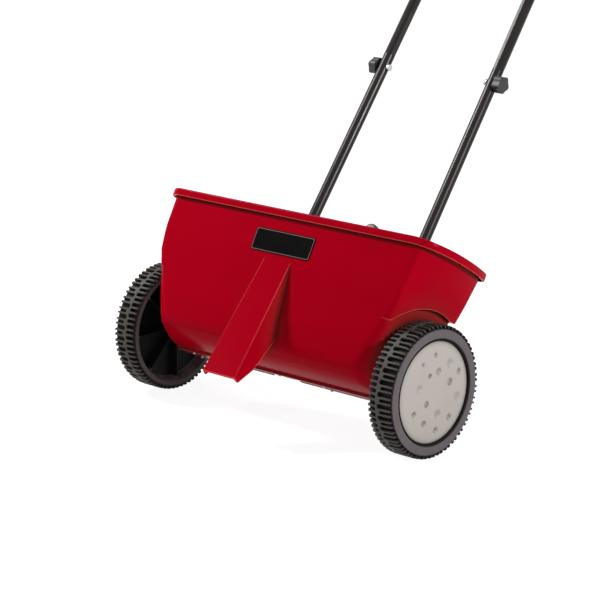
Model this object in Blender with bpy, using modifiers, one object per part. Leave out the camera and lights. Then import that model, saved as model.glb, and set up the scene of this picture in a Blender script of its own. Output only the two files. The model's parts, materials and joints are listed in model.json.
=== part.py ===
"""Drop spreader for seed and fertiliser: a tilted hopper between two wheels, pushed by a tube handle.

Metres, +Z up. X runs along the axle, -Y is the front. The hopper and the handle are drawn upright
round the axle, with the rim level, and an empty on the axle tips them back to the pushing attitude.
"""

import math

import bmesh
import bpy
import numpy as np
from mathutils import Matrix, Vector

# Fits
GAP = 0.0003              # left between pieces that touch
HOLE_PLAY = 0.0003        # radial play of a pin, bolt or shaft in its hole
BOOLEAN_MARGIN = 0.002    # how far a cutter runs past the face that it opens
WELD = 0.00001            # points nearer than this become one
ROUND = math.radians(35)  # faces that meet at less than this look round

# Sides of round pieces
WHEEL_SIDES = 36
ROD_SIDES = 24
PIN_SIDES = 12
ARCH_SIDES = 56
ARC_STEPS = 4

# Attitude
WORKING_TILT = math.radians(29.0)

# Wheels
WHEEL_DIAMETER = 0.200
WHEEL_WIDTH = 0.0435
OVERALL_WIDTH = 0.576
LUG_COUNT = 35
LUG_HEIGHT = 0.006
LUG_SHARE = 0.52
LUG_FLANK = 0.12          # each sloping flank's share of a lug
LUG_ROOT = 0.00075        # how far a lug is sunk into the tread
WHEEL_EDGE = 0.002
MOULD_DRAFT = 0.0015
INNER_LUG_ROW = 0.0150
OUTER_LUG_ROW = 0.0235
TREAD_WALL = 0.008
WHEEL_WEB = 0.004
WEB_DEPTH = 0.0175
RIB_THICKNESS = 0.0025
RIB_PAIRS = 4
RIB_SETBACK = 0.003
HUB_RADIUS = 0.013
HUB_SETBACK = 0.007
HUB_CAP_RADIUS = 0.0765
HUB_CAP_SHELL = 0.0022
HUB_CAP_DOME = 0.0035
HUB_CAP_SEAT = 0.0055
HUB_CAP_LEDGE = 0.005
HUB_CAP_SKIRT = 0.004

# Axle and agitator
AXLE_RADIUS = 0.005
AXLE_END_SETBACK = 0.0035
BUSH_WALL = 0.003
BUSH_FLANGE_RADIUS = 0.012
BUSH_FLANGE = 0.002
BUSH_LENGTH = 0.010
AXLE_WASHER = 0.001
AXLE_WASHER_RADIUS = 0.011
CLIP_THICKNESS = 0.0012
CLIP_RADIUS = 0.0085
DRIVE_PIN_RADIUS = 0.002
DRIVE_PIN_LENGTH = 0.024
DRIVE_PIN_SETBACK = 0.0045
AGITATOR_END_GAP = 0.023  # from the agitator's end to the hopper's end wall
AGITATOR_SLEEVE_RADIUS = 0.008
KEY_PLACE = 0.034         # the agitator's cross pin, between two paddles
PADDLE_COUNT = 12
PADDLE_REACH = 0.022
PADDLE_WIDTH = 0.014
PADDLE_THICKNESS = 0.003

# Hopper
WALL = 0.003
RIM_HEIGHT = 0.200
RIM_SETBACK = 0.032       # from a wheel's outer face in to the rim's end at its corners
RIM_LIP = 0.012
RIM_OVERHANG = 0.006
RIM_CORNER = 0.018
END_SWELL = 0.024         # how far the rim's ends bulge out between their corners
SWELL_FOOT = 0.105
SWELL_CURVE = 1.3
SWELL_PLACE = 0.37        # the fullest place of an end, from front to back
END_STEPS = 6
FRONT_REACH = 0.101
LABEL_PANEL_FOOT = 0.130
BELLY_HEIGHT = 0.037
BELLY_REACH = 0.0935
KNEE_HEIGHT = 0.004
KNEE_REACH = 0.087
# The rounded underside ahead of the floor: height and reach, from the floor up to the knee
CHIN = ((-0.0285, 0.026), (-0.0255, 0.046), (-0.019, 0.0645), (-0.008, 0.080))
REAR_REACH = 0.066
REAR_LEAN = math.radians(9.8)
REAR_KNEE_HEIGHT = -0.015
FLOOR_DROP = 0.0305
FLOOR_FRONT = 0.012
FLOOR_REAR = 0.013
FLARE_FRONT_CORNER = 0.0045
FLARE_REAR_CORNER = 0.012
WHEEL_CLEARANCE = 0.0165  # between a wheel and the hopper's end at the axle
CORE_END_LEAN = math.radians(6.4)
CORE_RECESS = 0.0045
CAVITY_STEP = 0.0001      # the flares' cavities stand this much inside the core's
CORE_CORNER_TOP = 0.018
CORE_CORNER_FOOT = 0.027
CORE_FRONT_CORNER_TOP = 0.012
CORE_FRONT_CORNER_FOOT = 0.039
ARCH_CLEARANCE = 0.016
FLARE_FOOT_FRONT = 0.074
FLARE_FOOT_REAR = 0.112
AXLE_BOSS_RADIUS = 0.016
AXLE_BOSS_PROUD = 0.004

# Front foot, one moulding with the hopper
FOOT_TOP = 0.120
FOOT_TIP = Vector((-0.139, -0.072))
FOOT_SOLE = Vector((-0.130, -0.076))
FOOT_HEEL = Vector((-0.110, -0.050))
FOOT_BACK = Vector((-0.087, 0.004))
FOOT_HALF_TOP = 0.027
FOOT_HALF_FOOT = 0.033
FOOT_FLARE = 0.005
FOOT_EDGE = 0.003
FOOT_HOLLOW_TOP = 0.090

# Outlets and shutter
OUTLET_COUNT = 16
OUTLET_END_GAP = 0.007    # left past the outermost outlet's share of the shutter
OUTLET_LENGTH = 0.012
OUTLET_WIDTH = 0.008
OUTLET_OFFSET = 0.001
SHUTTER_THICKNESS = 0.0012
SHUTTER_WIDTH = 0.014
SHUTTER_END_GAP = 0.013   # from the shutter's end to the hopper's end at the axle
SHUTTER_TRAVEL = 0.0125
SHUTTER_ARM_WIDTH = 0.018
SHUTTER_ARM_CLEARANCE = 0.0035
SHUTTER_ARM_TOP = 0.006
GUIDE_LIP = 0.0015
GUIDE_OVERLAP = 0.003
GUIDE_GATE = 0.060
GUIDE_SCREW_RADIUS = 0.0012
GUIDE_SCREW_HEAD_RADIUS = 0.0022
GUIDE_SCREW_HEAD = 0.0014
GUIDE_SCREW_PITCH = 0.092

# Dosing lever on the back wall
LEVER_PIVOT_HEIGHT = 0.060
LEVER_LOWER_ARM = 0.059
LEVER_UPPER_ARM = 0.176
LEVER_THICKNESS = 0.003
LEVER_STANDOFF = 0.0095
LEVER_PIVOT_EYE = 0.011
LEVER_WIDTH = 0.012
LEVER_TIP_WIDTH = 0.010
LEVER_BOSS_RADIUS = 0.008
LEVER_BOLT_RADIUS = 0.003
LEVER_BOLT_HEAD_RADIUS = 0.0055
LEVER_BOLT_HEAD = 0.004
LEVER_BOLT_BITE = 0.008
LEVER_WASHER = 0.001
LEVER_WASHER_RADIUS = 0.0075
SHUTTER_PIN_RADIUS = 0.0025
SHUTTER_PIN_HEAD_RADIUS = 0.0035
SHUTTER_PIN_HEAD = 0.0015
LEVER_SLOT_PLAY = 0.0008
KNOB_RADIUS = 0.012
KNOB_THICKNESS = 0.018
KNOB_NECK = 0.026
KNOB_WAIST = 0.7
KNOB_SOCKET = 0.016
KNOB_EDGE = 0.003
SCALE_HEIGHT = 0.168
SCALE_SIZE = (0.070, 0.024)
SCALE_THICKNESS = 0.0012

# Label on the front wall, left blank
LABEL_SIZE = (0.120, 0.036)
LABEL_FOOT = 0.1305
LABEL_THICKNESS = 0.0008
LABEL_CORNER = 0.004

# Handle
TUBE_RADIUS = 0.009
TUBE_WALL = 0.0015
TUBE_SPACING = 0.2318
TUBE_LEAN = math.radians(7.3)
TUBE_TOE_IN = math.radians(0.75)
SOCKET_WALL = 0.003
SOCKET_FLOOR = 0.004
SOCKET_DEPTH = 0.125
SOCKET_DRAIN_RADIUS = 0.003
SOCKET_SCREW_DEPTH = 0.095
SOCKET_SCREW_RADIUS = 0.002
SOCKET_SCREW_HEAD_RADIUS = 0.005
SOCKET_SCREW_HEAD = 0.0025
HANDLE_LENGTH = 0.860
HANDLE_BEND = 0.045
BOW_ROUNDNESS = 4
BEND_STEPS = 7
JOINT_DISTANCE = 0.330
SLEEVE_LENGTH = 0.090
SLEEVE_WALL = 0.0014
JOINT_BOLT_DROP = 0.022
JOINT_BOLT_RADIUS = 0.003
JOINT_BOLT_HEAD_RADIUS = 0.0055
JOINT_BOLT_HEAD = 0.004
STAR_KNOB_RADIUS = 0.014
STAR_KNOB_LOBES = 5
STAR_KNOB_DEPTH = 0.0025
STAR_KNOB_THICKNESS = 0.013
STAR_KNOB_ROOF = 0.004
GRIP_RADIUS = 0.0175
GRIP_END_ROUND = 0.003
GRIP_END_GAP = 0.004

# Worked out from the sizes above
WHEEL_RADIUS = WHEEL_DIAMETER / 2
OUTER_FACE = OVERALL_WIDTH / 2
INNER_FACE = OUTER_FACE - WHEEL_WIDTH
TREAD_BASE = WHEEL_RADIUS - LUG_HEIGHT
RIM_LENGTH = OVERALL_WIDTH - 2 * RIM_SETBACK
CORE_HALF_AT_AXLE = INNER_FACE - WHEEL_CLEARANCE
AGITATOR_LENGTH = 2 * (CORE_HALF_AT_AXLE - AGITATOR_END_GAP)
SHUTTER_LENGTH = 2 * (CORE_HALF_AT_AXLE - SHUTTER_END_GAP)
GUIDE_LENGTH = SHUTTER_LENGTH
OUTLET_PITCH = (SHUTTER_LENGTH - 2 * OUTLET_END_GAP) / OUTLET_COUNT
HUB_OUTER_END = OUTER_FACE - HUB_SETBACK
BORE_RADIUS = AXLE_RADIUS + HOLE_PLAY
BOSS_FACE = CORE_HALF_AT_AXLE + AXLE_BOSS_PROUD
BUSH_FLANGE_FACE = BOSS_FACE + GAP + BUSH_FLANGE
WASHER_FACE = BUSH_FLANGE_FACE + GAP + AXLE_WASHER
HUB_INNER_END = WASHER_FACE + GAP
BUSH_RADIUS = BORE_RADIUS + BUSH_WALL
FLARE_HALF = RIM_LENGTH / 2 - RIM_OVERHANG
ARCH_RADIUS = WHEEL_RADIUS + ARCH_CLEARANCE
FLOOR_FACE = -FLOOR_DROP
SHUTTER_TOP = FLOOR_FACE - GAP
SHUTTER_FACE = SHUTTER_TOP - SHUTTER_THICKNESS
SHUTTER_FRONT = OUTLET_OFFSET - SHUTTER_WIDTH / 2
SHUTTER_REAR = OUTLET_OFFSET + SHUTTER_WIDTH / 2
TUBE_BORE = TUBE_RADIUS - TUBE_WALL
SOCKET_BORE = TUBE_RADIUS + HOLE_PLAY

MATERIALS = {
    "red_plastic": ((0.38, 0.004, 0.012), 0.42, 0.0),
    "black_plastic": ((0.014, 0.013, 0.014), 0.55, 0.0),
    "grey_plastic": ((0.46, 0.43, 0.40), 0.45, 0.0),
    "black_label": ((0.006, 0.006, 0.006), 0.35, 0.0),
    "black_tube": ((0.018, 0.018, 0.020), 0.35, 0.0),
    "zinc_steel": ((0.55, 0.56, 0.58), 0.35, 1.0),
    "white_plastic": ((0.75, 0.74, 0.70), 0.45, 0.0),
    "black_foam": ((0.010, 0.010, 0.011), 0.95, 0.0),
}


def clear_scene():
    for item in list(bpy.data.objects):
        bpy.data.objects.remove(item, do_unlink=True)


def new_collection(name):
    made = bpy.data.collections.new(name)
    bpy.context.scene.collection.children.link(made)
    return made


clear_scene()
PARTS = new_collection("drop_spreader")
CUTTERS = new_collection("cutters")


def material(name):
    found = bpy.data.materials.get(name)
    if found:
        return found
    colour, roughness, metallic = MATERIALS[name]
    made = bpy.data.materials.new(name)
    made.use_nodes = True
    shader = made.node_tree.nodes["Principled BSDF"]
    shader.inputs["Base Color"].default_value = (*colour, 1.0)
    shader.inputs["Roughness"].default_value = roughness
    shader.inputs["Metallic"].default_value = metallic
    return made


def empty(name, location, rotation=(0.0, 0.0, 0.0), parent=None):
    made = bpy.data.objects.new(name, None)
    made.location = location
    made.rotation_euler = rotation
    made.parent = parent
    made.empty_display_size = 0.05
    PARTS.objects.link(made)
    return made


def place(item, parent, finish):
    """A finished sub-part: linked, parented to its empty and given its own material."""
    PARTS.objects.link(item)
    item.parent = parent
    item.data.materials.clear()
    item.data.materials.append(material(finish))
    return item


def cutter(item, parent):
    """A helper shape that another shape is joined with or cut by."""
    CUTTERS.objects.link(item)
    item.parent = parent
    item.hide_render = True
    item.display_type = "WIRE"
    return item


def boolean(item, tool, operation):
    change = item.modifiers.new(tool.name, "BOOLEAN")
    change.operation = operation
    change.object = tool
    change.solver = "EXACT"
    return item


def object_from(name, mesh_maker, round_angle=None):
    """An object whose mesh is filled by mesh_maker, with round faces smooth below round_angle."""
    mesh = bpy.data.meshes.new(name)
    shape = bmesh.new()
    mesh_maker(shape)
    bmesh.ops.recalc_face_normals(shape, faces=shape.faces)
    shape.to_mesh(mesh)
    shape.free()
    if round_angle is not None:
        mesh.shade_smooth()
        mesh.set_sharp_from_angle(angle=round_angle)
    return bpy.data.objects.new(name, mesh)


def box(name, low, high):
    size = Vector(high) - Vector(low)
    centre = (Vector(high) + Vector(low)) / 2

    def make(shape):
        spot = Matrix.Translation(centre) @ Matrix.Diagonal((*size, 1.0))
        bmesh.ops.create_cube(shape, size=1.0, matrix=spot)
    return object_from(name, make)


def rod(name, start, end, radius, sides=ROD_SIDES):
    """A cylinder from one point to another."""
    start, end = Vector(start), Vector(end)
    run = end - start
    turn = run.to_track_quat("Z", "Y").to_matrix().to_4x4()
    spot = Matrix.Translation((start + end) / 2) @ turn

    def make(shape):
        bmesh.ops.create_cone(shape, cap_ends=True, segments=sides, radius1=radius, radius2=radius,
                              depth=run.length, matrix=spot)
    return object_from(name, make, ROUND)


def bore_out(item, start, end, radius, parent, sides=ROD_SIDES):
    """Cuts a round hole that runs a little past both points."""
    start, end = Vector(start), Vector(end)
    past = (end - start).normalized() * BOOLEAN_MARGIN
    number = len(item.modifiers)
    tool = rod(f"{item.name}_bore_{number}", start - past, end + past, radius, sides)
    return boolean(item, cutter(tool, parent), "DIFFERENCE")


def sleeve(name, start, end, outer, inner, parent, sides=ROD_SIDES):
    """A round tube from one point to another, bored right through."""
    return bore_out(rod(name, start, end, outer, sides), start, end, inner, parent, sides)


def headed_pin(name, seat, direction, shank, head, parent, sides=ROD_SIDES):
    """A screw or bolt: the shank runs from the seat along direction, the head stands behind the seat.

    Shank and head are each a (radius, length) pair.
    """
    seat, direction = Vector(seat), Vector(direction).normalized()
    pin = rod(name, seat + direction * shank[1], seat - direction * head[1] / 2, shank[0], sides)
    cap = rod(name + "_head", seat, seat - direction * head[1], head[0], sides)
    return boolean(pin, cutter(cap, parent), "UNION")


def turned(name, profile, steps):
    """A body turned about X from (radius, x) points that run round one closed section."""
    mesh = bpy.data.meshes.new(name)
    count = len(profile)
    on_axis = profile[0][0] == 0.0 and profile[-1][0] == 0.0
    edges = [(i, i + 1) for i in range(count - 1)]
    if not on_axis:
        edges.append((count - 1, 0))
    mesh.from_pydata([(x, 0.0, radius) for radius, x in profile], edges, [])
    item = bpy.data.objects.new(name, mesh)
    spin = item.modifiers.new("turn", "SCREW")
    spin.axis = "X"
    spin.steps = steps
    spin.render_steps = steps
    spin.use_merge_vertices = True
    spin.merge_threshold = WELD
    spin.use_normal_calculate = True
    return item


def solid_copy(item):
    """The evaluated shape of an object as a plain, closed mesh with its faces pointing out."""
    bpy.context.scene.collection.objects.link(item)
    bpy.context.view_layer.update()
    evaluated = item.evaluated_get(bpy.context.evaluated_depsgraph_get())
    mesh = bpy.data.meshes.new_from_object(evaluated)
    place_matrix = item.matrix_world.copy()
    name = item.name
    bpy.data.objects.remove(item, do_unlink=True)
    shape = bmesh.new()
    shape.from_mesh(mesh)
    shape.transform(place_matrix)
    bmesh.ops.remove_doubles(shape, verts=shape.verts, dist=WELD)
    bmesh.ops.recalc_face_normals(shape, faces=shape.faces)
    shape.to_mesh(mesh)
    shape.free()
    mesh.shade_smooth()
    mesh.set_sharp_from_angle(angle=ROUND)
    return bpy.data.objects.new(name, mesh)


def flat_outline(name, loops, thickness, spot):
    """A flat piece: closed 2D loops, the first outside and the rest holes, given a thickness."""
    curve = bpy.data.curves.new(name, "CURVE")
    curve.dimensions = "2D"
    curve.fill_mode = "BOTH"
    curve.extrude = thickness / 2
    for loop in loops:
        spline = curve.splines.new("POLY")
        spline.points.add(len(loop) - 1)
        for point, (x, y) in zip(spline.points, loop):
            point.co = (x, y, 0.0, 1.0)
        spline.use_cyclic_u = True
    item = bpy.data.objects.new(name, curve)
    item.matrix_world = spot
    return solid_copy(item)


def bent_tube(name, path, radius, sides_level):
    """A round bar along a path of points."""
    curve = bpy.data.curves.new(name, "CURVE")
    curve.dimensions = "3D"
    curve.bevel_depth = radius
    curve.bevel_resolution = sides_level
    curve.use_fill_caps = True
    spline = curve.splines.new("POLY")
    spline.points.add(len(path) - 1)
    for point, place_on_path in zip(spline.points, path):
        point.co = (*place_on_path, 1.0)
    return solid_copy(bpy.data.objects.new(name, curve))


def circle(radius, count):
    angles = [2 * math.pi * i / count for i in range(count)]
    return [(radius * math.cos(angle), radius * math.sin(angle)) for angle in angles]


def span(side, inner, outer):
    """The low and high X of a stretch on one side of the middle."""
    return min(side * inner, side * outer), max(side * inner, side * outer)


def drawn_along_x(x):
    """Stands a flat outline up, its first axis along Y and its second along Z, at a place on X."""
    return Matrix(((0, 0, 1, x), (1, 0, 0, 0), (0, 1, 0, 0), (0, 0, 0, 1)))


def rounded(corners, radii, steps, closed=True):
    """Corners of a flat outline or path, each turned into an arc of its own radius."""
    points = []
    count = len(corners)
    for i, (corner, radius) in enumerate(zip(corners, radii)):
        here = Vector(corner)
        if not closed and i in (0, count - 1):
            points.append(tuple(here))
            continue
        before = (Vector(corners[i - 1]) - here).normalized()
        after = (Vector(corners[(i + 1) % count]) - here).normalized()
        half = before.angle(after) / 2
        centre = here + (before + after).normalized() * (radius / math.sin(half))
        start = here + before * (radius / math.tan(half)) - centre
        end = here + after * (radius / math.tan(half)) - centre
        sweep = start.angle(end)
        for step in range(steps + 1):
            share = step / steps
            spoke = (start * math.sin((1 - share) * sweep) + end * math.sin(share * sweep)) / math.sin(sweep)
            points.append(tuple(centre + spoke))
    return points


def loft(name, rings):
    """A closed body through level rings of equal point counts, each a (height, outline) pair."""
    def make(shape):
        made = [[shape.verts.new((x, y, height)) for x, y in outline] for height, outline in rings]
        count = len(made[0])
        for lower, upper in zip(made[:-1], made[1:]):
            for i in range(count):
                j = (i + 1) % count
                shape.faces.new((lower[i], lower[j], upper[j], upper[i]))
        shape.faces.new(made[0][::-1])
        shape.faces.new(made[-1])
    return object_from(name, make, ROUND)


# Hopper sections, level cuts through the upright hopper

def front_reach(height):
    """How far the front wall stands ahead of the axle at a height."""
    heights, reaches = zip((FLOOR_FACE, FLOOR_FRONT), *CHIN, (KNEE_HEIGHT, KNEE_REACH),
                           (BELLY_HEIGHT, BELLY_REACH), (LABEL_PANEL_FOOT, FRONT_REACH),
                           (RIM_HEIGHT, FRONT_REACH))
    return float(np.interp(height, heights, reaches))


def rear_reach(height):
    """How far the back wall stands behind the axle at a height."""
    knee = REAR_REACH - math.tan(REAR_LEAN) * (RIM_HEIGHT - REAR_KNEE_HEIGHT)
    return float(np.interp(height, (FLOOR_FACE, REAR_KNEE_HEIGHT, RIM_HEIGHT), (FLOOR_REAR, knee, REAR_REACH)))


def core_half(height):
    """Half the length of the hopper between the wheels at a height."""
    leaning = CORE_HALF_AT_AXLE + math.tan(CORE_END_LEAN) * height
    return min(leaning, FLARE_HALF - CORE_RECESS)


def core_corners(height):
    """Radii of the front and rear corners of the hopper between the wheels at a height."""
    front = np.interp(height, (0.0, FLARE_FOOT_FRONT), (CORE_FRONT_CORNER_FOOT, CORE_FRONT_CORNER_TOP))
    rear = np.interp(height, (0.0, RIM_HEIGHT), (CORE_CORNER_FOOT, CORE_CORNER_TOP))
    return float(front), float(rear)


def swell(height):
    """How far the ends bulge at a height: not at all over the wheels, most at the rim."""
    share = min(max((height - SWELL_FOOT) / (RIM_HEIGHT - SWELL_FOOT), 0.0), 1.0)
    return END_SWELL * share ** SWELL_CURVE


def level_outline(half, front, rear, corner_radii, bulge=0.0):
    """A level cut with rounded corners, whose two ends bulge between them."""
    corners = [(-half, -front), (half, -front), (half, rear), (-half, rear)]
    limit = 0.45 * (front + rear)
    front_corner, rear_corner = (min(radius, limit) for radius in corner_radii)
    arcs = rounded(corners, [front_corner, front_corner, rear_corner, rear_corner], ARC_STEPS)
    right, left = 2 * (ARC_STEPS + 1), 4 * (ARC_STEPS + 1)
    points = arcs[:right] + end_steps(arcs[right - 1], arcs[right]) + arcs[right:left]
    points += end_steps(arcs[-1], arcs[0])
    fullest = -front + SWELL_PLACE * (front + rear)
    outline = []
    for x, y in points:
        away = (fullest - y) / (fullest + front) if y < fullest else (y - fullest) / (rear - fullest)
        outline.append((x + math.copysign(bulge * (1 - away ** 2), x), y))
    return outline


def end_steps(start, end):
    """Points between two corners, so that a bulging end has something to bend."""
    steps = [step / (END_STEPS + 1) for step in range(1, END_STEPS + 1)]
    return [tuple(Vector(start).lerp(Vector(end), share)) for share in steps]


def inner_front(height):
    """The cavity keeps the wall across steep faces and across the sloping belly."""
    return front_reach(height - WALL) - WALL


def inner_rear(height):
    return rear_reach(height - WALL) - WALL


FLARE_HEIGHTS = [FLARE_FOOT_FRONT, SWELL_FOOT, LABEL_PANEL_FOOT, 0.155, 0.178, RIM_HEIGHT]
CORE_HEIGHTS = sorted([FLOOR_FACE, REAR_KNEE_HEIGHT, *(height for height, reach in CHIN), KNEE_HEIGHT,
                       BELLY_HEIGHT]) + FLARE_HEIGHTS


def core_rings(heights, inset, front, rear):
    rings = []
    for z in heights:
        radii = [radius - inset for radius in core_corners(z)]
        rings.append((z, level_outline(core_half(z) - inset, front(z), rear(z), radii)))
    return rings


def flare_rings(heights, inset, front, rear, step=0.0):
    radii = (FLARE_FRONT_CORNER - inset, FLARE_REAR_CORNER - inset)
    return [(z, level_outline(FLARE_HALF - inset, front(z) - step, rear(z) - step, radii, swell(z)))
            for z in heights]


def rim_rings(low, high, outset):
    radii = [RIM_CORNER - RIM_OVERHANG + outset] * 2
    outline = level_outline(FLARE_HALF + outset, FRONT_REACH + outset, REAR_REACH + outset, radii,
                            END_SWELL)
    return [(low, outline), (high, outline)]


def arch_cut(item, name, radius, lift, parent):
    """Clears both ends of a flare over the wheels: a round arch and a level edge behind it."""
    inboard = core_half(0.0) - WALL * 4
    outboard = FLARE_HALF + WALL * 2
    behind = math.sqrt(radius ** 2 - (FLARE_FOOT_REAR + lift) ** 2)
    for side in (-1, 1):
        round_cut = rod(f"{name}_arch_{side}", (side * inboard, 0, 0), (side * outboard, 0, 0), radius,
                        ARCH_SIDES)
        boolean(item, cutter(round_cut, parent), "DIFFERENCE")
        low_x, high_x = span(side, inboard, outboard)
        level = box(f"{name}_level_{side}", (low_x, behind, 0.0),
                    (high_x, REAR_REACH + BOOLEAN_MARGIN, FLARE_FOOT_REAR + lift))
        boolean(item, cutter(level, parent), "DIFFERENCE")
    return item


def foot_ring(height, inset):
    """A level cut through the front foot: a face, two sides that flare backwards and an open back."""
    share = (FOOT_TOP - height) / (FOOT_TOP - FOOT_TIP.y)
    face = -FRONT_REACH + (FRONT_REACH + FOOT_TIP.x) * share + inset
    if height > FOOT_BACK.y:
        back = -front_reach(height) + WALL / 2
    else:
        back = float(np.interp(height, (FOOT_HEEL.y, FOOT_BACK.y), (FOOT_HEEL.x, FOOT_BACK.x)))
    if inset:
        back += WALL * 4
    half = FOOT_HALF_TOP + (FOOT_HALF_FOOT - FOOT_HALF_TOP) * share - inset
    half_back = half + FOOT_FLARE * (back - face) / (FOOT_HEEL.x - FOOT_TIP.x)
    corners = [(-half, face), (half, face), (half_back, back), (-half_back, back)]
    edge = min(FOOT_EDGE, 0.3 * (back - face))
    return height, rounded(corners, [edge, edge, edge * 0.2, edge * 0.2], 3)


def foot_cut(name, parent):
    """Everything below the slanted sole and heel of the foot."""
    width = 4 * FOOT_HALF_FOOT
    toe = FOOT_TIP + (FOOT_TIP - FOOT_SOLE).normalized() * width / 2
    rise = FOOT_HEEL + (FOOT_HEEL - FOOT_SOLE).normalized() * width / 2
    floor = FOOT_SOLE.y - width / 2
    loop = [tuple(toe), tuple(FOOT_SOLE), tuple(rise), (rise.x, floor), (toe.x, floor)]
    return cutter(flat_outline(name, [loop], width, drawn_along_x(0)), parent)


def make_foot(parent):
    low = FOOT_SOLE.y - BOOLEAN_MARGIN
    middle = (FOOT_HEEL.y, FOOT_BACK.y, FOOT_BACK.y + GAP, BELLY_HEIGHT)
    foot = loft("foot", [foot_ring(z, 0.0) for z in (low, *middle, FOOT_TOP - WALL)])
    hollow_heights = (low - BOOLEAN_MARGIN, *middle, FOOT_HOLLOW_TOP)
    hollow = loft("foot_hollow", [foot_ring(z, WALL) for z in hollow_heights])
    boolean(foot, cutter(hollow, parent), "DIFFERENCE")
    boolean(foot, foot_cut("foot_sole_cut", parent), "DIFFERENCE")
    return cutter(foot, parent)


# Handle geometry

def leg_point(side, distance):
    """A point on the centre line of a handle tube, distance measured up from the rim."""
    direction = Vector((-side * math.sin(TUBE_TOE_IN), math.sin(TUBE_LEAN), math.cos(TUBE_LEAN))).normalized()
    return Vector((side * TUBE_SPACING / 2, REAR_REACH, RIM_HEIGHT)) + direction * distance


def wall_frame():
    """Pivot frame of the dosing lever: local Y up the back wall, local Z out of it."""
    pivot = Vector((0.0, rear_reach(LEVER_PIVOT_HEIGHT), LEVER_PIVOT_HEIGHT))
    up = Vector((0.0, math.sin(REAR_LEAN), math.cos(REAR_LEAN)))
    out = Vector((0.0, math.cos(REAR_LEAN), -math.sin(REAR_LEAN)))
    right = up.cross(out)
    turn = Matrix((right, up, out)).transposed().to_4x4()
    return Matrix.Translation(pivot) @ turn


def outlet_positions():
    first = -OUTLET_PITCH * (OUTLET_COUNT - 1) / 2
    return [first + OUTLET_PITCH * i for i in range(OUTLET_COUNT)]


def outlet_cutters(name, shift, low, high, parent):
    """One cutter with a box for each outlet hole, which runs past both faces."""
    def make(shape):
        for x in outlet_positions():
            centre = Vector((x + shift, OUTLET_OFFSET, (low + high) / 2))
            size = (OUTLET_LENGTH, OUTLET_WIDTH, high - low + 2 * BOOLEAN_MARGIN, 1.0)
            bmesh.ops.create_cube(shape, size=1.0, matrix=Matrix.Translation(centre) @ Matrix.Diagonal(size))
    return cutter(object_from(name, make), parent)


def guide_screw_spots():
    """Front screws sit on every pitch; the back guides leave the middle free for the shutter arm."""
    front_y = (-FLOOR_FRONT + SHUTTER_FRONT - GAP) / 2
    rear_y = (FLOOR_REAR + SHUTTER_REAR + GAP) / 2
    front = [("front", i + 3, GUIDE_SCREW_PITCH * i, front_y) for i in (-2, -1, 0, 1, 2)]
    rear = [("rear", i, GUIDE_SCREW_PITCH * step, rear_y) for i, step in enumerate((-2, -1, 1, 2), 1)]
    return front + rear


def make_shell_walls(parent):
    """Outside of the shell: core between the wheels, flares over them, rolled rim and foot."""
    shell = loft("hopper_shell", core_rings(CORE_HEIGHTS, 0.0, front_reach, rear_reach))
    flare = loft("flare", flare_rings(FLARE_HEIGHTS, 0.0, front_reach, rear_reach))
    arch_cut(flare, "flare", ARCH_RADIUS, 0.0, parent)
    boolean(shell, cutter(flare, parent), "UNION")

    rim = loft("rim", rim_rings(RIM_HEIGHT - RIM_LIP, RIM_HEIGHT, RIM_OVERHANG))
    under = loft("rim_under", rim_rings(RIM_HEIGHT - RIM_LIP * 2, RIM_HEIGHT - WALL, RIM_OVERHANG - WALL))
    boolean(rim, cutter(under, parent), "DIFFERENCE")
    boolean(shell, cutter(rim, parent), "UNION")
    boolean(shell, make_foot(parent), "UNION")
    return shell


def hollow_out(shell, parent):
    """Two cavities, one in the core and one in the flares, leave the wall everywhere."""
    above = RIM_HEIGHT + RIM_LIP
    core_heights = (*(height + WALL for height in CORE_HEIGHTS[:-1]), above)
    core = loft("core_cavity", core_rings(core_heights, WALL, inner_front, inner_rear))
    boolean(shell, cutter(core, parent), "DIFFERENCE")
    flare_heights = (*(height + WALL for height in FLARE_HEIGHTS[:-1]), above)
    flare = loft("flare_cavity", flare_rings(flare_heights, WALL, inner_front, inner_rear, CAVITY_STEP))
    arch_cut(flare, "flare_cavity", ARCH_RADIUS + WALL, WALL, parent)
    boolean(shell, cutter(flare, parent), "DIFFERENCE")


def add_axle_boss(shell, side, parent):
    inboard = core_half(0.0) - WALL * 3
    boss = rod(f"axle_boss_{side}", (side * inboard, 0, 0), (side * BOSS_FACE, 0, 0), AXLE_BOSS_RADIUS)
    boolean(shell, cutter(boss, parent), "UNION")


def bore_axle_boss(shell, side, parent):
    """The bush sits in this hole, which opens into the hopper."""
    inboard = core_half(0.0) - WALL * 5
    bore_out(shell, (side * inboard, 0, 0), (side * BOSS_FACE, 0, 0), BUSH_RADIUS + HOLE_PLAY, parent)


def add_tube_socket(shell, side, parent):
    """A tube's socket in the back wall, with a floor, a drain hole and a screw hole from behind."""
    foot, seat = leg_point(side, -SOCKET_DEPTH), leg_point(side, -SOCKET_SCREW_DEPTH)
    floor = leg_point(side, -SOCKET_DEPTH - SOCKET_FLOOR)
    socket = rod(f"socket_{side}", floor, leg_point(side, 0.0), SOCKET_BORE + SOCKET_WALL)
    boolean(shell, cutter(socket, parent), "UNION")
    bore = rod(f"socket_bore_{side}", foot, leg_point(side, RIM_LIP), SOCKET_BORE)
    boolean(shell, cutter(bore, parent), "DIFFERENCE")
    bore_out(shell, floor, foot, SOCKET_DRAIN_RADIUS, parent, PIN_SIDES)
    outside = seat + tube_rear() * (SOCKET_BORE + SOCKET_WALL)
    bore_out(shell, seat, outside, SOCKET_SCREW_RADIUS + HOLE_PLAY, parent, PIN_SIDES)


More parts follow.
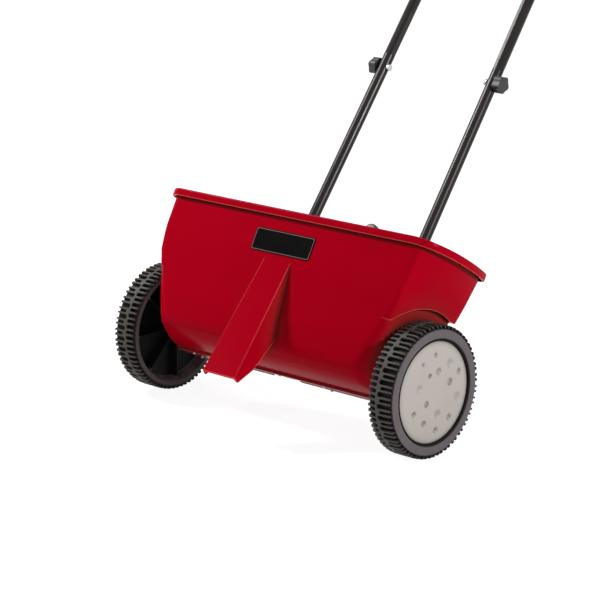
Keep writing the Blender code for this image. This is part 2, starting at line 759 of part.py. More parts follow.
def make_hopper(parent):
    shell = make_shell_walls(parent)
    frame = wall_frame()
    for side in (-1, 1):
        add_axle_boss(shell, side, parent)
    boss_face = LEVER_STANDOFF - GAP
    lever_boss = rod("lever_boss", frame @ Vector((0, 0, -WALL / 2)), frame @ Vector((0, 0, boss_face)),
                     LEVER_BOSS_RADIUS)
    boolean(shell, cutter(lever_boss, parent), "UNION")
    hollow_out(shell, parent)
    for side in (-1, 1):
        add_tube_socket(shell, side, parent)
        bore_axle_boss(shell, side, parent)
    lever_hole = rod("lever_hole", frame @ Vector((0, 0, boss_face - LEVER_BOLT_BITE)),
                     frame @ Vector((0, 0, boss_face + BOOLEAN_MARGIN)), LEVER_BOLT_RADIUS + HOLE_PLAY,
                     PIN_SIDES)
    boolean(shell, cutter(lever_hole, parent), "DIFFERENCE")
    outlets = outlet_cutters("outlets", 0.0, FLOOR_FACE, FLOOR_FACE + WALL, parent)
    boolean(shell, outlets, "DIFFERENCE")
    for row, number, x, y in guide_screw_spots():
        bore_out(shell, (x, y, FLOOR_FACE), (x, y, FLOOR_FACE + WALL), GUIDE_SCREW_RADIUS + HOLE_PLAY, parent,
                 PIN_SIDES)
    place(shell, parent, "red_plastic")


def tube_rear():
    """Square to a handle tube, to the rear, where its socket screw goes in."""
    return Vector((0.0, math.cos(TUBE_LEAN), -math.sin(TUBE_LEAN)))


def make_label(parent):
    half_width, height = LABEL_SIZE[0] / 2, LABEL_SIZE[1]
    corners = [(-half_width, 0), (half_width, 0), (half_width, height), (-half_width, height)]
    outline = rounded(corners, [LABEL_CORNER] * 4, ARC_STEPS)
    upright = Matrix(((1, 0, 0, 0), (0, 0, -1, 0), (0, 1, 0, 0), (0, 0, 0, 1)))
    spot = Matrix.Translation((0, -FRONT_REACH - GAP - LABEL_THICKNESS / 2, LABEL_FOOT)) @ upright
    place(flat_outline("label_plate", [outline], LABEL_THICKNESS, spot), parent, "black_label")


def make_scale(parent):
    half_width, half_height = SCALE_SIZE[0] / 2, SCALE_SIZE[1] / 2
    rise = (SCALE_HEIGHT - LEVER_PIVOT_HEIGHT) / math.cos(REAR_LEAN)
    corners = [(-half_width, rise - half_height), (half_width, rise - half_height),
               (half_width, rise + half_height), (-half_width, rise + half_height)]
    outline = rounded(corners, [LABEL_CORNER] * 4, ARC_STEPS)
    spot = wall_frame() @ Matrix.Translation((0, 0, GAP + SCALE_THICKNESS / 2))
    place(flat_outline("dosing_scale", [outline], SCALE_THICKNESS, spot), parent, "white_plastic")


# Shutter, its guides and the dosing lever

def guide_section(front):
    """A stepped strip: a spacer beside the shutter and a lip that runs under its edge."""
    if front:
        outside, inside, lip_end = -FLOOR_FRONT, SHUTTER_FRONT - GAP, SHUTTER_FRONT + GUIDE_OVERLAP
    else:
        outside, inside, lip_end = FLOOR_REAR, SHUTTER_REAR + GAP, SHUTTER_REAR - GUIDE_OVERLAP
    top, step = SHUTTER_TOP, SHUTTER_FACE - GAP
    bottom = step - GUIDE_LIP
    return [(outside, top), (inside, top), (inside, step), (lip_end, step), (lip_end, bottom),
            (outside, bottom)]


def make_guide(name, section, start, end, parent):
    guide = flat_outline(name, [section], end - start, drawn_along_x((start + end) / 2))
    for row, number, x, y in guide_screw_spots():
        if start < x < end and row in name:
            bore_out(guide, (x, y, SHUTTER_FACE - GAP - GUIDE_LIP), (x, y, SHUTTER_TOP),
                     GUIDE_SCREW_RADIUS + HOLE_PLAY, parent, PIN_SIDES)
    place(guide, parent, "red_plastic")


def make_guides(parent):
    half = GUIDE_LENGTH / 2
    make_guide("shutter_guide_front", guide_section(True), -half, half, parent)
    make_guide("shutter_guide_rear_left", guide_section(False), -half, -GUIDE_GATE / 2, parent)
    make_guide("shutter_guide_rear_right", guide_section(False), GUIDE_GATE / 2, half, parent)
    seat = SHUTTER_FACE - GAP - GUIDE_LIP - GAP
    shank = FLOOR_FACE + WALL - seat - GAP
    for row, number, x, y in guide_screw_spots():
        screw = headed_pin(f"guide_screw_{row}_{number}", (x, y, seat), (0, 0, 1), (GUIDE_SCREW_RADIUS, shank),
                           (GUIDE_SCREW_HEAD_RADIUS, GUIDE_SCREW_HEAD), parent, PIN_SIDES)
        place(screw, parent, "zinc_steel")


def shutter_arm_section():
    """Side view of the arm that carries the shutter's motion up behind the back wall."""
    knee_y, knee_z = rear_reach(REAR_KNEE_HEIGHT) + SHUTTER_ARM_CLEARANCE, REAR_KNEE_HEIGHT
    top_y, top_z = rear_reach(SHUTTER_ARM_TOP) + SHUTTER_ARM_CLEARANCE, SHUTTER_ARM_TOP
    foot_y, thick = FLOOR_REAR + GAP * 2, SHUTTER_THICKNESS
    start = SHUTTER_REAR - OUTLET_WIDTH / 4
    lower = knee_z - SHUTTER_ARM_CLEARANCE / 2
    return [(start, SHUTTER_TOP), (foot_y, SHUTTER_TOP), (knee_y, lower), (top_y, top_z),
            (top_y + thick, top_z), (knee_y + thick, lower - thick / 2), (foot_y + thick, SHUTTER_FACE),
            (start, SHUTTER_FACE)]


def make_shutter(parent):
    """The slide under the outlets stands half open, as the lever stands upright."""
    half = SHUTTER_LENGTH / 2
    plate = box("shutter_plate", (-half, SHUTTER_FRONT, SHUTTER_FACE), (half, SHUTTER_REAR, SHUTTER_TOP))
    arm = flat_outline("shutter_arm", [shutter_arm_section()], SHUTTER_ARM_WIDTH, drawn_along_x(0))
    boolean(plate, cutter(arm, parent), "UNION")
    holes = outlet_cutters("shutter_holes", SHUTTER_TRAVEL / 2, SHUTTER_FACE, SHUTTER_TOP, parent)
    boolean(plate, holes, "DIFFERENCE")
    frame = wall_frame()
    out = frame.to_3x3() @ Vector((0, 0, 1))
    centre = frame @ Vector((0, -LEVER_LOWER_ARM, 0))
    pin_end = LEVER_STANDOFF + LEVER_THICKNESS + SHUTTER_PIN_HEAD
    bore_out(plate, centre, centre + out * pin_end, SHUTTER_PIN_RADIUS + HOLE_PLAY, parent, PIN_SIDES)
    place(plate, parent, "zinc_steel")

    seat = arm_distance() - GAP
    pin = headed_pin("shutter_pin", centre + out * seat, out, (SHUTTER_PIN_RADIUS, pin_end - seat),
                     (SHUTTER_PIN_HEAD_RADIUS, SHUTTER_PIN_HEAD), parent, PIN_SIDES)
    place(pin, parent, "zinc_steel")


def arm_distance():
    """From the back wall line out to the near face of the shutter arm at the pin."""
    frame = wall_frame()
    centre = frame @ Vector((0, -LEVER_LOWER_ARM, 0))
    inner = rear_reach(centre.z) + SHUTTER_ARM_CLEARANCE
    return (inner - centre.y) * math.cos(REAR_LEAN)


def lever_outline():
    """Flat bar with an eye at the pivot, a fork end below and a round-shouldered neck above."""
    foot = -LEVER_LOWER_ARM - LEVER_TIP_WIDTH * 0.8
    top = LEVER_UPPER_ARM - KNOB_NECK + KNOB_SOCKET
    tip, wide, eye = LEVER_TIP_WIDTH / 2, LEVER_WIDTH / 2, LEVER_PIVOT_EYE
    shoulder = eye * 1.6
    right = [(tip, foot), (wide, -shoulder), (eye, -eye * 0.45), (eye, eye * 0.45), (wide, shoulder),
             (tip, top)]
    left = [(-x, y) for x, y in reversed(right)]
    radii = [tip * 0.8, wide, eye * 0.4, eye * 0.4, wide, tip * 0.5]
    return rounded(right + left, radii + radii[::-1], ARC_STEPS)


def slot_outline():
    """The pin's slot: a little taller than wide, as the lever swings and the shutter slides."""
    half = SHUTTER_PIN_RADIUS + HOLE_PLAY + LEVER_SLOT_PLAY / 2
    tall = half + LEVER_SLOT_PLAY / 2
    low, high = -LEVER_LOWER_ARM - tall, -LEVER_LOWER_ARM + tall
    corners = [(-half, low), (half, low), (half, high), (-half, high)]
    return rounded(corners, [half * 0.9] * 4, ARC_STEPS)


def knob_outline(inset):
    """A paddle with a round top, narrowing to its foot on the lever."""
    half = KNOB_RADIUS - inset
    waist = KNOB_RADIUS * KNOB_WAIST - inset
    foot = LEVER_UPPER_ARM - KNOB_NECK + inset
    shoulder = LEVER_UPPER_ARM - KNOB_RADIUS * 0.4
    top = LEVER_UPPER_ARM + KNOB_RADIUS - inset
    corners = [(-waist, foot), (waist, foot), (half, shoulder), (half, top), (-half, top), (-half, shoulder)]
    small = waist * 0.3
    large = half * 0.95
    return rounded(corners, [small, small, small, large, large, small], ARC_STEPS)


def make_lever(parent, pivot_empty):
    """Drawn in the pivot's own frame, so that its origin lies on the hinge axis."""
    middle = LEVER_STANDOFF + LEVER_THICKNESS / 2
    eye = circle(LEVER_BOLT_RADIUS + HOLE_PLAY, ROD_SIDES)
    loops = [lever_outline(), eye, slot_outline()]
    lever = flat_outline("dosing_lever", loops, LEVER_THICKNESS, Matrix.Translation((0, 0, middle)))
    place(lever, pivot_empty, "zinc_steel")
    make_lever_knob(pivot_empty, middle)

    frame = wall_frame()
    out = frame.to_3x3() @ Vector((0, 0, 1))
    washer_foot = LEVER_STANDOFF + LEVER_THICKNESS + GAP
    washer_top = washer_foot + LEVER_WASHER
    washer = sleeve("lever_washer", frame.translation + out * washer_foot, frame.translation + out * washer_top,
                    LEVER_WASHER_RADIUS, LEVER_BOLT_RADIUS + HOLE_PLAY, parent)
    place(washer, parent, "zinc_steel")
    seat = washer_top + GAP
    shank = seat - LEVER_STANDOFF + LEVER_BOLT_BITE
    bolt = headed_pin("lever_pivot_bolt", frame.translation + out * seat, -out, (LEVER_BOLT_RADIUS, shank),
                      (LEVER_BOLT_HEAD_RADIUS, LEVER_BOLT_HEAD), parent)
    place(bolt, parent, "zinc_steel")


def make_lever_knob(pivot_empty, middle):
    """A thick paddle with soft edges, pushed on the lever's top end."""
    foot = LEVER_UPPER_ARM - KNOB_NECK
    deep = KNOB_THICKNESS / 2
    small = KNOB_EDGE * 0.3
    levels = ((-deep, KNOB_EDGE), (small - deep, small), (KNOB_EDGE - deep, 0.0),
              (deep - KNOB_EDGE, 0.0), (deep - small, small), (deep, KNOB_EDGE))
    knob = loft("lever_knob", [(middle + height, knob_outline(inset)) for height, inset in levels])
    half_width = LEVER_TIP_WIDTH / 2 + GAP
    half_depth = LEVER_THICKNESS / 2 + GAP
    socket = box("knob_socket", (-half_width, foot - BOOLEAN_MARGIN, middle - half_depth),
                 (half_width, foot + KNOB_SOCKET + GAP, middle + half_depth))
    boolean(knob, cutter(socket, pivot_empty), "DIFFERENCE")
    place(knob, pivot_empty, "black_plastic")


# Wheels

def gear_loop(radius_low, radius_high, phase):
    """The outline of one row of lugs, seen along the axle."""
    pitch = 2 * math.pi / LUG_COUNT
    top = pitch * LUG_SHARE
    flank = top * LUG_FLANK
    corners = ((0.0, radius_low), (flank, radius_high), (top - flank, radius_high), (top, radius_low))
    points = []
    for i in range(LUG_COUNT):
        start = (i + phase) * pitch
        for angle, radius in corners:
            points.append((radius * math.cos(start + angle), radius * math.sin(start + angle)))
    return points


def lug_row(name, side, inner_x, outer_x, phase):
    """A toothed ring whose inside is sunk into the tread."""
    hole = circle(TREAD_BASE - TREAD_WALL / 2, ROD_SIDES)
    base = TREAD_BASE - LUG_ROOT
    spot = drawn_along_x(side * (inner_x + outer_x) / 2)
    return flat_outline(name, [gear_loop(base, WHEEL_RADIUS, phase), hole], outer_x - inner_x, spot)


def wheel_section():
    """Half section of the moulded wheel: hub, web, barrel and tread, with a pilot hole for the bore."""
    pilot, edge = BORE_RADIUS / 2, WHEEL_EDGE
    web_in = INNER_FACE + WEB_DEPTH
    web_out = web_in + WHEEL_WEB
    barrel_in = TREAD_BASE - TREAD_WALL
    seat = HUB_CAP_RADIUS + GAP
    ledge = seat - HUB_CAP_LEDGE
    cap_seat = OUTER_FACE - HUB_CAP_SEAT
    return [
        (pilot, HUB_OUTER_END), (HUB_RADIUS, HUB_OUTER_END), (HUB_RADIUS + MOULD_DRAFT, web_out),
        (ledge - MOULD_DRAFT, web_out), (ledge, cap_seat), (seat, cap_seat), (seat, OUTER_FACE - edge / 2),
        (seat + edge / 2, OUTER_FACE), (TREAD_BASE - edge, OUTER_FACE), (TREAD_BASE, OUTER_FACE - edge),
        (TREAD_BASE, INNER_FACE + edge), (TREAD_BASE - edge, INNER_FACE), (barrel_in, INNER_FACE),
        (barrel_in - 2 * MOULD_DRAFT, web_in), (HUB_RADIUS + MOULD_DRAFT, web_in), (HUB_RADIUS, HUB_INNER_END),
        (pilot, HUB_INNER_END),
    ]


def to_side(section, side):
    return [(radius, side * x) for radius, x in section]


def make_wheel(name, side, parent, driven):
    wheel = solid_copy(turned(name, to_side(wheel_section(), side), WHEEL_SIDES))
    row_gap = (WHEEL_WIDTH - INNER_LUG_ROW - OUTER_LUG_ROW) / 3
    inner_start = INNER_FACE + row_gap
    outer_start = inner_start + INNER_LUG_ROW + row_gap
    inner_lugs = lug_row(name + "_inner_lugs", side, inner_start, inner_start + INNER_LUG_ROW, 0.0)
    outer_lugs = lug_row(name + "_outer_lugs", side, outer_start, outer_start + OUTER_LUG_ROW, 0.5)
    boolean(wheel, cutter(inner_lugs, parent), "UNION")
    boolean(wheel, cutter(outer_lugs, parent), "UNION")
    low_x, high_x = span(side, INNER_FACE + RIB_SETBACK, INNER_FACE + WEB_DEPTH + WHEEL_WEB / 2)
    reach = TREAD_BASE - TREAD_WALL / 2
    for i in range(RIB_PAIRS):
        rib = box(f"{name}_rib_{i}", (low_x, -RIB_THICKNESS / 2, -reach), (high_x, RIB_THICKNESS / 2, reach))
        rib.data.transform(Matrix.Rotation(math.pi * i / RIB_PAIRS, 4, "X"))
        boolean(wheel, cutter(rib, parent), "UNION")
    bore_out(wheel, (side * HUB_INNER_END, 0, 0), (side * OUTER_FACE, 0, 0), BORE_RADIUS, parent)
    if driven:
        boolean(wheel, cutter(drive_slot(side), parent), "DIFFERENCE")
    place(wheel, parent, "black_plastic")


def drive_slot(side):
    """The slot across the hub's end that the drive pin turns the wheel by."""
    half = DRIVE_PIN_RADIUS + HOLE_PLAY
    low_x, high_x = span(side, HUB_OUTER_END - DRIVE_PIN_SETBACK - half, HUB_OUTER_END + BOOLEAN_MARGIN)
    reach = DRIVE_PIN_LENGTH / 2 + GAP
    return box("drive_slot", (low_x, -half, -reach), (high_x, half, reach))


def dome(share):
    """Rise of the hub cap's face above its edge, at a share of its radius."""
    return HUB_CAP_DOME * (1 - share ** 2) ** 0.8


def make_hub_cap(name, side, parent):
    """A domed disc that snaps into the wheel's outer recess."""
    seat = OUTER_FACE - HUB_CAP_SEAT + GAP
    edge = OUTER_FACE - HUB_CAP_DOME
    skirt = HUB_CAP_RADIUS - HUB_CAP_SKIRT
    outside = [(HUB_CAP_RADIUS * share, edge + dome(share)) for share in (0.0, 0.45, 0.75, 0.92, 1.0)]
    inside = [(skirt * share, edge + dome(share) - HUB_CAP_SHELL) for share in (0.8, 0.0)]
    section = [*outside, (HUB_CAP_RADIUS, seat), (skirt, seat), *inside]
    place(solid_copy(turned(name, to_side(section, side), WHEEL_SIDES)), parent, "grey_plastic")


# Axle, bushes and agitator

def make_axle(parent):
    end = OUTER_FACE - AXLE_END_SETBACK
    axle = rod("axle_shaft", (-end, 0, 0), (end, 0, 0), AXLE_RADIUS)
    pin_x = HUB_OUTER_END - DRIVE_PIN_SETBACK
    bore_out(axle, (pin_x, 0, -AXLE_RADIUS), (pin_x, 0, AXLE_RADIUS), DRIVE_PIN_RADIUS + HOLE_PLAY, parent,
             PIN_SIDES)
    bore_out(axle, (KEY_PLACE, -AXLE_RADIUS, 0), (KEY_PLACE, AXLE_RADIUS, 0), DRIVE_PIN_RADIUS + HOLE_PLAY,
             parent, PIN_SIDES)
    place(axle, parent, "zinc_steel")
    half_pin = DRIVE_PIN_LENGTH / 2
    pin = rod("drive_pin", (pin_x, 0, -half_pin), (pin_x, 0, half_pin), DRIVE_PIN_RADIUS, PIN_SIDES)
    place(pin, parent, "zinc_steel")


def make_agitator(parent):
    """A sleeve on the axle with paddles that stir the seed above the outlets, held by a cross pin."""
    half = AGITATOR_LENGTH / 2
    agitator = rod("agitator", (-half, 0, 0), (half, 0, 0), AGITATOR_SLEEVE_RADIUS)
    pitch = AGITATOR_LENGTH / PADDLE_COUNT
    for i in range(PADDLE_COUNT):
        x = -half + pitch * (i + 0.5)
        paddle = box(f"paddle_{i}", (x - PADDLE_WIDTH / 2, -PADDLE_THICKNESS / 2, -PADDLE_REACH),
                     (x + PADDLE_WIDTH / 2, PADDLE_THICKNESS / 2, PADDLE_REACH))
        paddle.data.transform(Matrix.Rotation(math.pi / 2 * (i % 2), 4, "X"))
        boolean(agitator, cutter(paddle, parent), "UNION")
    bore_out(agitator, (-half, 0, 0), (half, 0, 0), BORE_RADIUS, parent)
    low, high = (KEY_PLACE, -AGITATOR_SLEEVE_RADIUS, 0), (KEY_PLACE, AGITATOR_SLEEVE_RADIUS, 0)
    bore_out(agitator, low, high, DRIVE_PIN_RADIUS + HOLE_PLAY, parent, PIN_SIDES)
    place(agitator, parent, "black_plastic")
    place(rod("agitator_pin", low, high, DRIVE_PIN_RADIUS, PIN_SIDES), parent, "zinc_steel")


def make_axle_fittings(word, side, fixed, turning):
    """Bush and washer stay with the hopper; the clip turns on the axle's end."""
    bush_start = side * (BOSS_FACE - BUSH_LENGTH)
    flange_start, flange_end = side * (BOSS_FACE + GAP), side * BUSH_FLANGE_FACE
    bush = rod(f"axle_bush_{word}", (bush_start, 0, 0), ((flange_start + flange_end) / 2, 0, 0), BUSH_RADIUS)
    flange = rod(f"bush_flange_{word}", (flange_start, 0, 0), (flange_end, 0, 0), BUSH_FLANGE_RADIUS)
    boolean(bush, cutter(flange, fixed), "UNION")
    bore_out(bush, (bush_start, 0, 0), (flange_end, 0, 0), BORE_RADIUS, fixed)
    place(bush, fixed, "black_plastic")
    washer = sleeve(f"axle_washer_{word}", (side * (BUSH_FLANGE_FACE + GAP), 0, 0), (side * WASHER_FACE, 0, 0),
                    AXLE_WASHER_RADIUS, BORE_RADIUS, fixed)
    place(washer, fixed, "zinc_steel")
    clip_start = HUB_OUTER_END + GAP
    clip = sleeve(f"axle_clip_{word}", (side * clip_start, 0, 0), (side * (clip_start + CLIP_THICKNESS), 0, 0),
                  CLIP_RADIUS, BORE_RADIUS, turning)
    place(clip, turning, "zinc_steel")


# Handle

def bow_path(start, end_reach):
    """Centre line of the upper bow from one lower end over the crossbar to the other."""
    left, right = leg_point(-1, start - end_reach), leg_point(1, start - end_reach)
    top_left, top_right = leg_point(-1, HANDLE_LENGTH), leg_point(1, HANDLE_LENGTH)
    corners = [left, top_left, top_right, right]
    return rounded(corners, [0.0, HANDLE_BEND, HANDLE_BEND, 0.0], BEND_STEPS, closed=False)


def make_handle(parent):
    """Two lower tubes in the hopper's sockets, joined to one bow by inner sleeves and knob bolts."""
    for side, word in ((-1, "left"), (1, "right")):
        foot, top = leg_point(side, -SOCKET_DEPTH + GAP), leg_point(side, JOINT_DISTANCE)
        bolt_spot = leg_point(side, JOINT_DISTANCE - JOINT_BOLT_DROP)
        across = Vector((side, 0, 0))
        tube = sleeve(f"handle_tube_{word}", foot, top, TUBE_RADIUS, TUBE_BORE, parent)
        screw_spot = leg_point(side, -SOCKET_SCREW_DEPTH)
        bore_out(tube, screw_spot, screw_spot + tube_rear() * TUBE_RADIUS, SOCKET_SCREW_RADIUS + HOLE_PLAY, parent,
                 PIN_SIDES)
        cross_bore(tube, bolt_spot, across, parent)
        place(tube, parent, "black_tube")

        low, high = JOINT_DISTANCE - SLEEVE_LENGTH / 2, JOINT_DISTANCE + SLEEVE_LENGTH / 2
        sleeve_radius = TUBE_BORE - HOLE_PLAY
        inner_sleeve = sleeve(f"joint_sleeve_{word}", leg_point(side, low), leg_point(side, high), sleeve_radius,
                              sleeve_radius - SLEEVE_WALL, parent)
        cross_bore(inner_sleeve, bolt_spot, across, parent)
        place(inner_sleeve, parent, "zinc_steel")
        make_joint_bolt(word, bolt_spot, across, parent)
        make_joint_knob(word, bolt_spot, across, parent)
        make_socket_screw(word, side, parent)

    bow = bent_tube("handle_bow", bow_path(JOINT_DISTANCE + GAP, 0.0), TUBE_RADIUS, BOW_ROUNDNESS)
    bore = bent_tube("bow_bore", bow_path(JOINT_DISTANCE, BOOLEAN_MARGIN), TUBE_BORE, BOW_ROUNDNESS)
    boolean(bow, cutter(bore, parent), "DIFFERENCE")
    place(bow, parent, "black_tube")
    make_grip(parent)


def cross_bore(item, centre, across, parent):
    """The joint bolt's hole, right through a tube."""
    reach = across * TUBE_RADIUS
    bore_out(item, centre - reach, centre + reach, JOINT_BOLT_RADIUS + HOLE_PLAY, parent, PIN_SIDES)


def make_joint_bolt(word, centre, across, parent):
    """Goes from the inner side through tube and sleeve into the knob outside."""
    seat = centre - across * (TUBE_RADIUS + GAP)
    shank = 2 * (TUBE_RADIUS + GAP) + STAR_KNOB_THICKNESS - STAR_KNOB_ROOF - GAP
    bolt = headed_pin(f"joint_bolt_{word}", seat, across, (JOINT_BOLT_RADIUS, shank),
                      (JOINT_BOLT_HEAD_RADIUS, JOINT_BOLT_HEAD), parent)
    place(bolt, parent, "zinc_steel")


def make_joint_knob(word, centre, across, parent):
    count = STAR_KNOB_LOBES * 8
    outline = []
    for i in range(count):
        angle = 2 * math.pi * i / count
        radius = STAR_KNOB_RADIUS - STAR_KNOB_DEPTH * (1 - math.cos(STAR_KNOB_LOBES * angle)) / 2
        outline.append((radius * math.cos(angle), radius * math.sin(angle)))
    turn = across.to_track_quat("Z", "Y").to_matrix().to_4x4()
    face = TUBE_RADIUS + GAP
    spot = Matrix.Translation(centre + across * (face + STAR_KNOB_THICKNESS / 2)) @ turn
    knob = flat_outline(f"joint_knob_{word}", [outline], STAR_KNOB_THICKNESS, spot)
    bore = rod(f"joint_knob_bore_{word}", centre, centre + across * (face + STAR_KNOB_THICKNESS - STAR_KNOB_ROOF),
               JOINT_BOLT_RADIUS + HOLE_PLAY)
    boolean(knob, cutter(bore, parent), "DIFFERENCE")
    place(knob, parent, "black_plastic")


def make_socket_screw(word, side, parent):
    """Holds a handle tube in its socket from behind."""
    face = SOCKET_BORE + SOCKET_WALL + GAP
    seat = leg_point(side, -SOCKET_SCREW_DEPTH) + tube_rear() * face
    shank = face - TUBE_BORE + TUBE_WALL
    screw = headed_pin(f"socket_screw_{word}", seat, -tube_rear(), (SOCKET_SCREW_RADIUS, shank),
                       (SOCKET_SCREW_HEAD_RADIUS, SOCKET_SCREW_HEAD), parent, PIN_SIDES)
    place(screw, parent, "zinc_steel")


def make_grip(parent):
    """A foam sleeve on the straight part of the bow's crossbar."""
    left, right = leg_point(-1, HANDLE_LENGTH), leg_point(1, HANDLE_LENGTH)
    bend = HANDLE_BEND * math.tan(math.pi / 4 + TUBE_TOE_IN / 2)
    half = (right - left).length / 2 - bend - GRIP_END_GAP
    bore, soft = TUBE_RADIUS + GAP, GRIP_END_ROUND
    slight = soft * 0.3
    right_half = [(GRIP_RADIUS, half - soft), (GRIP_RADIUS - slight, half - slight), (GRIP_RADIUS - soft, half),
                  (bore, half)]
    section = right_half + [(radius, -x) for radius, x in reversed(right_half)]
    grip = solid_copy(turned("foam_grip", section, ROD_SIDES))
    grip.data.transform(Matrix.Translation((left + right) / 2))
    place(grip, parent, "black_foam")


# Assembly

def evaluated_bounds():
    bpy.context.view_layer.update()
    graph = bpy.context.evaluated_depsgraph_get()
    low, high = Vector((1e9,) * 3), Vector((-1e9,) * 3)
    for item in PARTS.objects:
        if item.type != "MESH":
            continue
        shape = item.evaluated_get(graph)
        for vertex in shape.data.vertices:
            point = shape.matrix_world @ vertex.co
            low = Vector(map(min, low, point))
            high = Vector(map(max, high, point))
    return low, high


def build():
    axle_line = empty("axle_line", (0, 0, WHEEL_RADIUS))
    hopper_frame = empty("hopper_frame", (0, 0, 0), (-WORKING_TILT, 0, 0), axle_line)
    turning = empty("drive_axle_frame", (0, 0, 0), (0, 0, 0), hopper_frame)
    left_wheel = empty("wheel_left_frame", (0, 0, 0), (0, 0, 0), hopper_frame)
    pivot = empty("lever_pivot_frame", (0, 0, 0), (0, 0, 0), hopper_frame)
    pivot.matrix_local = wall_frame()

    make_hopper(hopper_frame)
    make_label(hopper_frame)
    make_scale(hopper_frame)
    make_guides(hopper_frame)
    make_shutter(hopper_frame)
    make_lever(hopper_frame, pivot)
    make_axle(turning)
    make_agitator(turning)
    make_wheel("wheel_right", 1, turning, True)
    make_hub_cap("hub_cap_right", 1, turning)
    make_wheel("wheel_left", -1, left_wheel, False)
    make_hub_cap("hub_cap_left", -1, left_wheel)
    make_axle_fittings("right", 1, hopper_frame, turning)
    make_axle_fittings("left", -1, hopper_frame, turning)
    make_handle(hopper_frame)

    low, high = evaluated_bounds()
    axle_line.location.y = -(low.y + high.y) / 2
    bpy.context.view_layer.update()


build()
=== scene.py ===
"""Looks of a push-along drop spreader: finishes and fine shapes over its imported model."""
import json
import math

import bmesh
import bpy
from mathutils import Matrix, Vector


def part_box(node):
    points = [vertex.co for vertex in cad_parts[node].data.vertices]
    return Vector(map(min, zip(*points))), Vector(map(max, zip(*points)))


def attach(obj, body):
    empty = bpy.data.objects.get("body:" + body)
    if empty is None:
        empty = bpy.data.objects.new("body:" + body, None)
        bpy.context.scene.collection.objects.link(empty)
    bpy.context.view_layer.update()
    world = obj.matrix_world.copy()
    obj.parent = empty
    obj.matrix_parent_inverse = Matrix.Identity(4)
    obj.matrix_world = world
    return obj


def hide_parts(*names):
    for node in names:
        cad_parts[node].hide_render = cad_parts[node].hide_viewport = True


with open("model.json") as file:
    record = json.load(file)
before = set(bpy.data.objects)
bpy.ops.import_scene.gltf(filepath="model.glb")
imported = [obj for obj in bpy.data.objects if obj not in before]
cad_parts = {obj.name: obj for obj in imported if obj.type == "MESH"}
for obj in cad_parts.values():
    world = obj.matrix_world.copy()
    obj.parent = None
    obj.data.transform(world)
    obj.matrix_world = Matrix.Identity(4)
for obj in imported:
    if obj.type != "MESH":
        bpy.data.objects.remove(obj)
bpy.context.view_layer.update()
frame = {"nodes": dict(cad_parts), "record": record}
scene = bpy.context.scene
scene.view_settings.view_transform = "Standard"


# Places and sizes of the CAD model, in metres

def node_middle(name):
    low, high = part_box(name)
    return (low + high) / 2


MM = 0.001
AXLE = Vector((0.0, node_middle("axle_shaft").y, node_middle("axle_shaft").z))
WORKING_TILT = math.radians(29.0)
HOPPER_SPOT = Matrix.Translation(AXLE) @ Matrix.Rotation(-WORKING_TILT, 4, "X")
OUTER_FACE = 0.288
WHEEL_RADIUS = 0.100
CAP_RADIUS = 0.0765
CAP_DOME = 0.0035
CAP_SEAT = 0.2828


# Making pieces

def link_object(name, data):
    item = bpy.data.objects.new(name, data)
    scene.collection.objects.link(item)
    return item


def add_piece(name, points, faces, finish, body, replaced=(), sharp=35.0):
    """A mesh piece with its finish, shaded smooth up to an angle, riding on a body."""
    mesh = bpy.data.meshes.new(name)
    mesh.from_pydata([tuple(point) for point in points], [], faces)
    mesh.validate()
    mesh.materials.append(finish)
    mesh.shade_smooth()
    mesh.set_sharp_from_angle(angle=math.radians(sharp))
    piece = link_object(name, mesh)
    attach(piece, body)
    if replaced:
        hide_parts(*replaced)
    return piece


def ring_faces(rows, count, close_rows=True):
    """Quads of a grid whose rows are rings of count points, each row joined to the next."""
    faces = []
    last = rows if close_rows else rows - 1
    for row in range(last):
        after = (row + 1) % rows
        for i in range(count):
            j = (i + 1) % count
            faces.append((row * count + i, row * count + j, after * count + j, after * count + i))
    return faces


def plate_faces(count, rows):
    """Faces of a stack of rings of count points that is closed at both ends."""
    faces = [tuple(range(count))[::-1]]
    faces += ring_faces(rows, count, close_rows=False)
    faces.append(tuple(range((rows - 1) * count, rows * count)))
    return faces


def facing(side, faces):
    """Faces turned over on the left, where the points are mirrored."""
    return faces if side > 0 else [face[::-1] for face in faces]


def turned_points(section, angles):
    """Points of a section of (x, radius) pairs turned round the axle."""
    points = []
    for x, radius in section:
        for angle in angles:
            points.append((x, AXLE.y + radius * math.cos(angle), AXLE.z + radius * math.sin(angle)))
    return points


def round_rectangle(half_width, half_height, corner, steps=6):
    """The outline of a rectangle round the origin with rounded corners."""
    points = []
    for quarter in range(4):
        middle = (quarter + 0.5) * math.pi / 2
        centre_x = math.copysign(half_width - corner, math.cos(middle))
        centre_y = math.copysign(half_height - corner, math.sin(middle))
        for step in range(steps + 1):
            angle = quarter * math.pi / 2 + math.pi / 2 * step / steps
            points.append((centre_x + corner * math.cos(angle), centre_y + corner * math.sin(angle)))
    return points


# Shader groups

def new_group(name, inputs, outputs):
    """An empty node group with named inputs (name, kind, value) and outputs (name, kind)."""
    group = bpy.data.node_groups.new(name, "ShaderNodeTree")
    for label, kind, value in inputs:
        socket = group.interface.new_socket(label, in_out="INPUT", socket_type=kind)
        socket.default_value = value
    for label, kind in outputs:
        group.interface.new_socket(label, in_out="OUTPUT", socket_type=kind)
    start = group.nodes.new("NodeGroupInput")
    end = group.nodes.new("NodeGroupOutput")
    return group, start, end


def add_node(tree, kind, settings=None, **values):
    """A node with its settings, and its named inputs set to values or linked to sockets."""
    node = tree.nodes.new(kind)
    for key, value in (settings or {}).items():
        setattr(node, key, value)
    for label, value in values.items():
        numbered = label[0] == "i" and label[1:].isdigit()
        socket = node.inputs[int(label[1:]) if numbered else label.replace("_", " ")]
        if isinstance(value, bpy.types.NodeSocket):
            tree.links.new(value, socket)
        else:
            socket.default_value = value
    return node


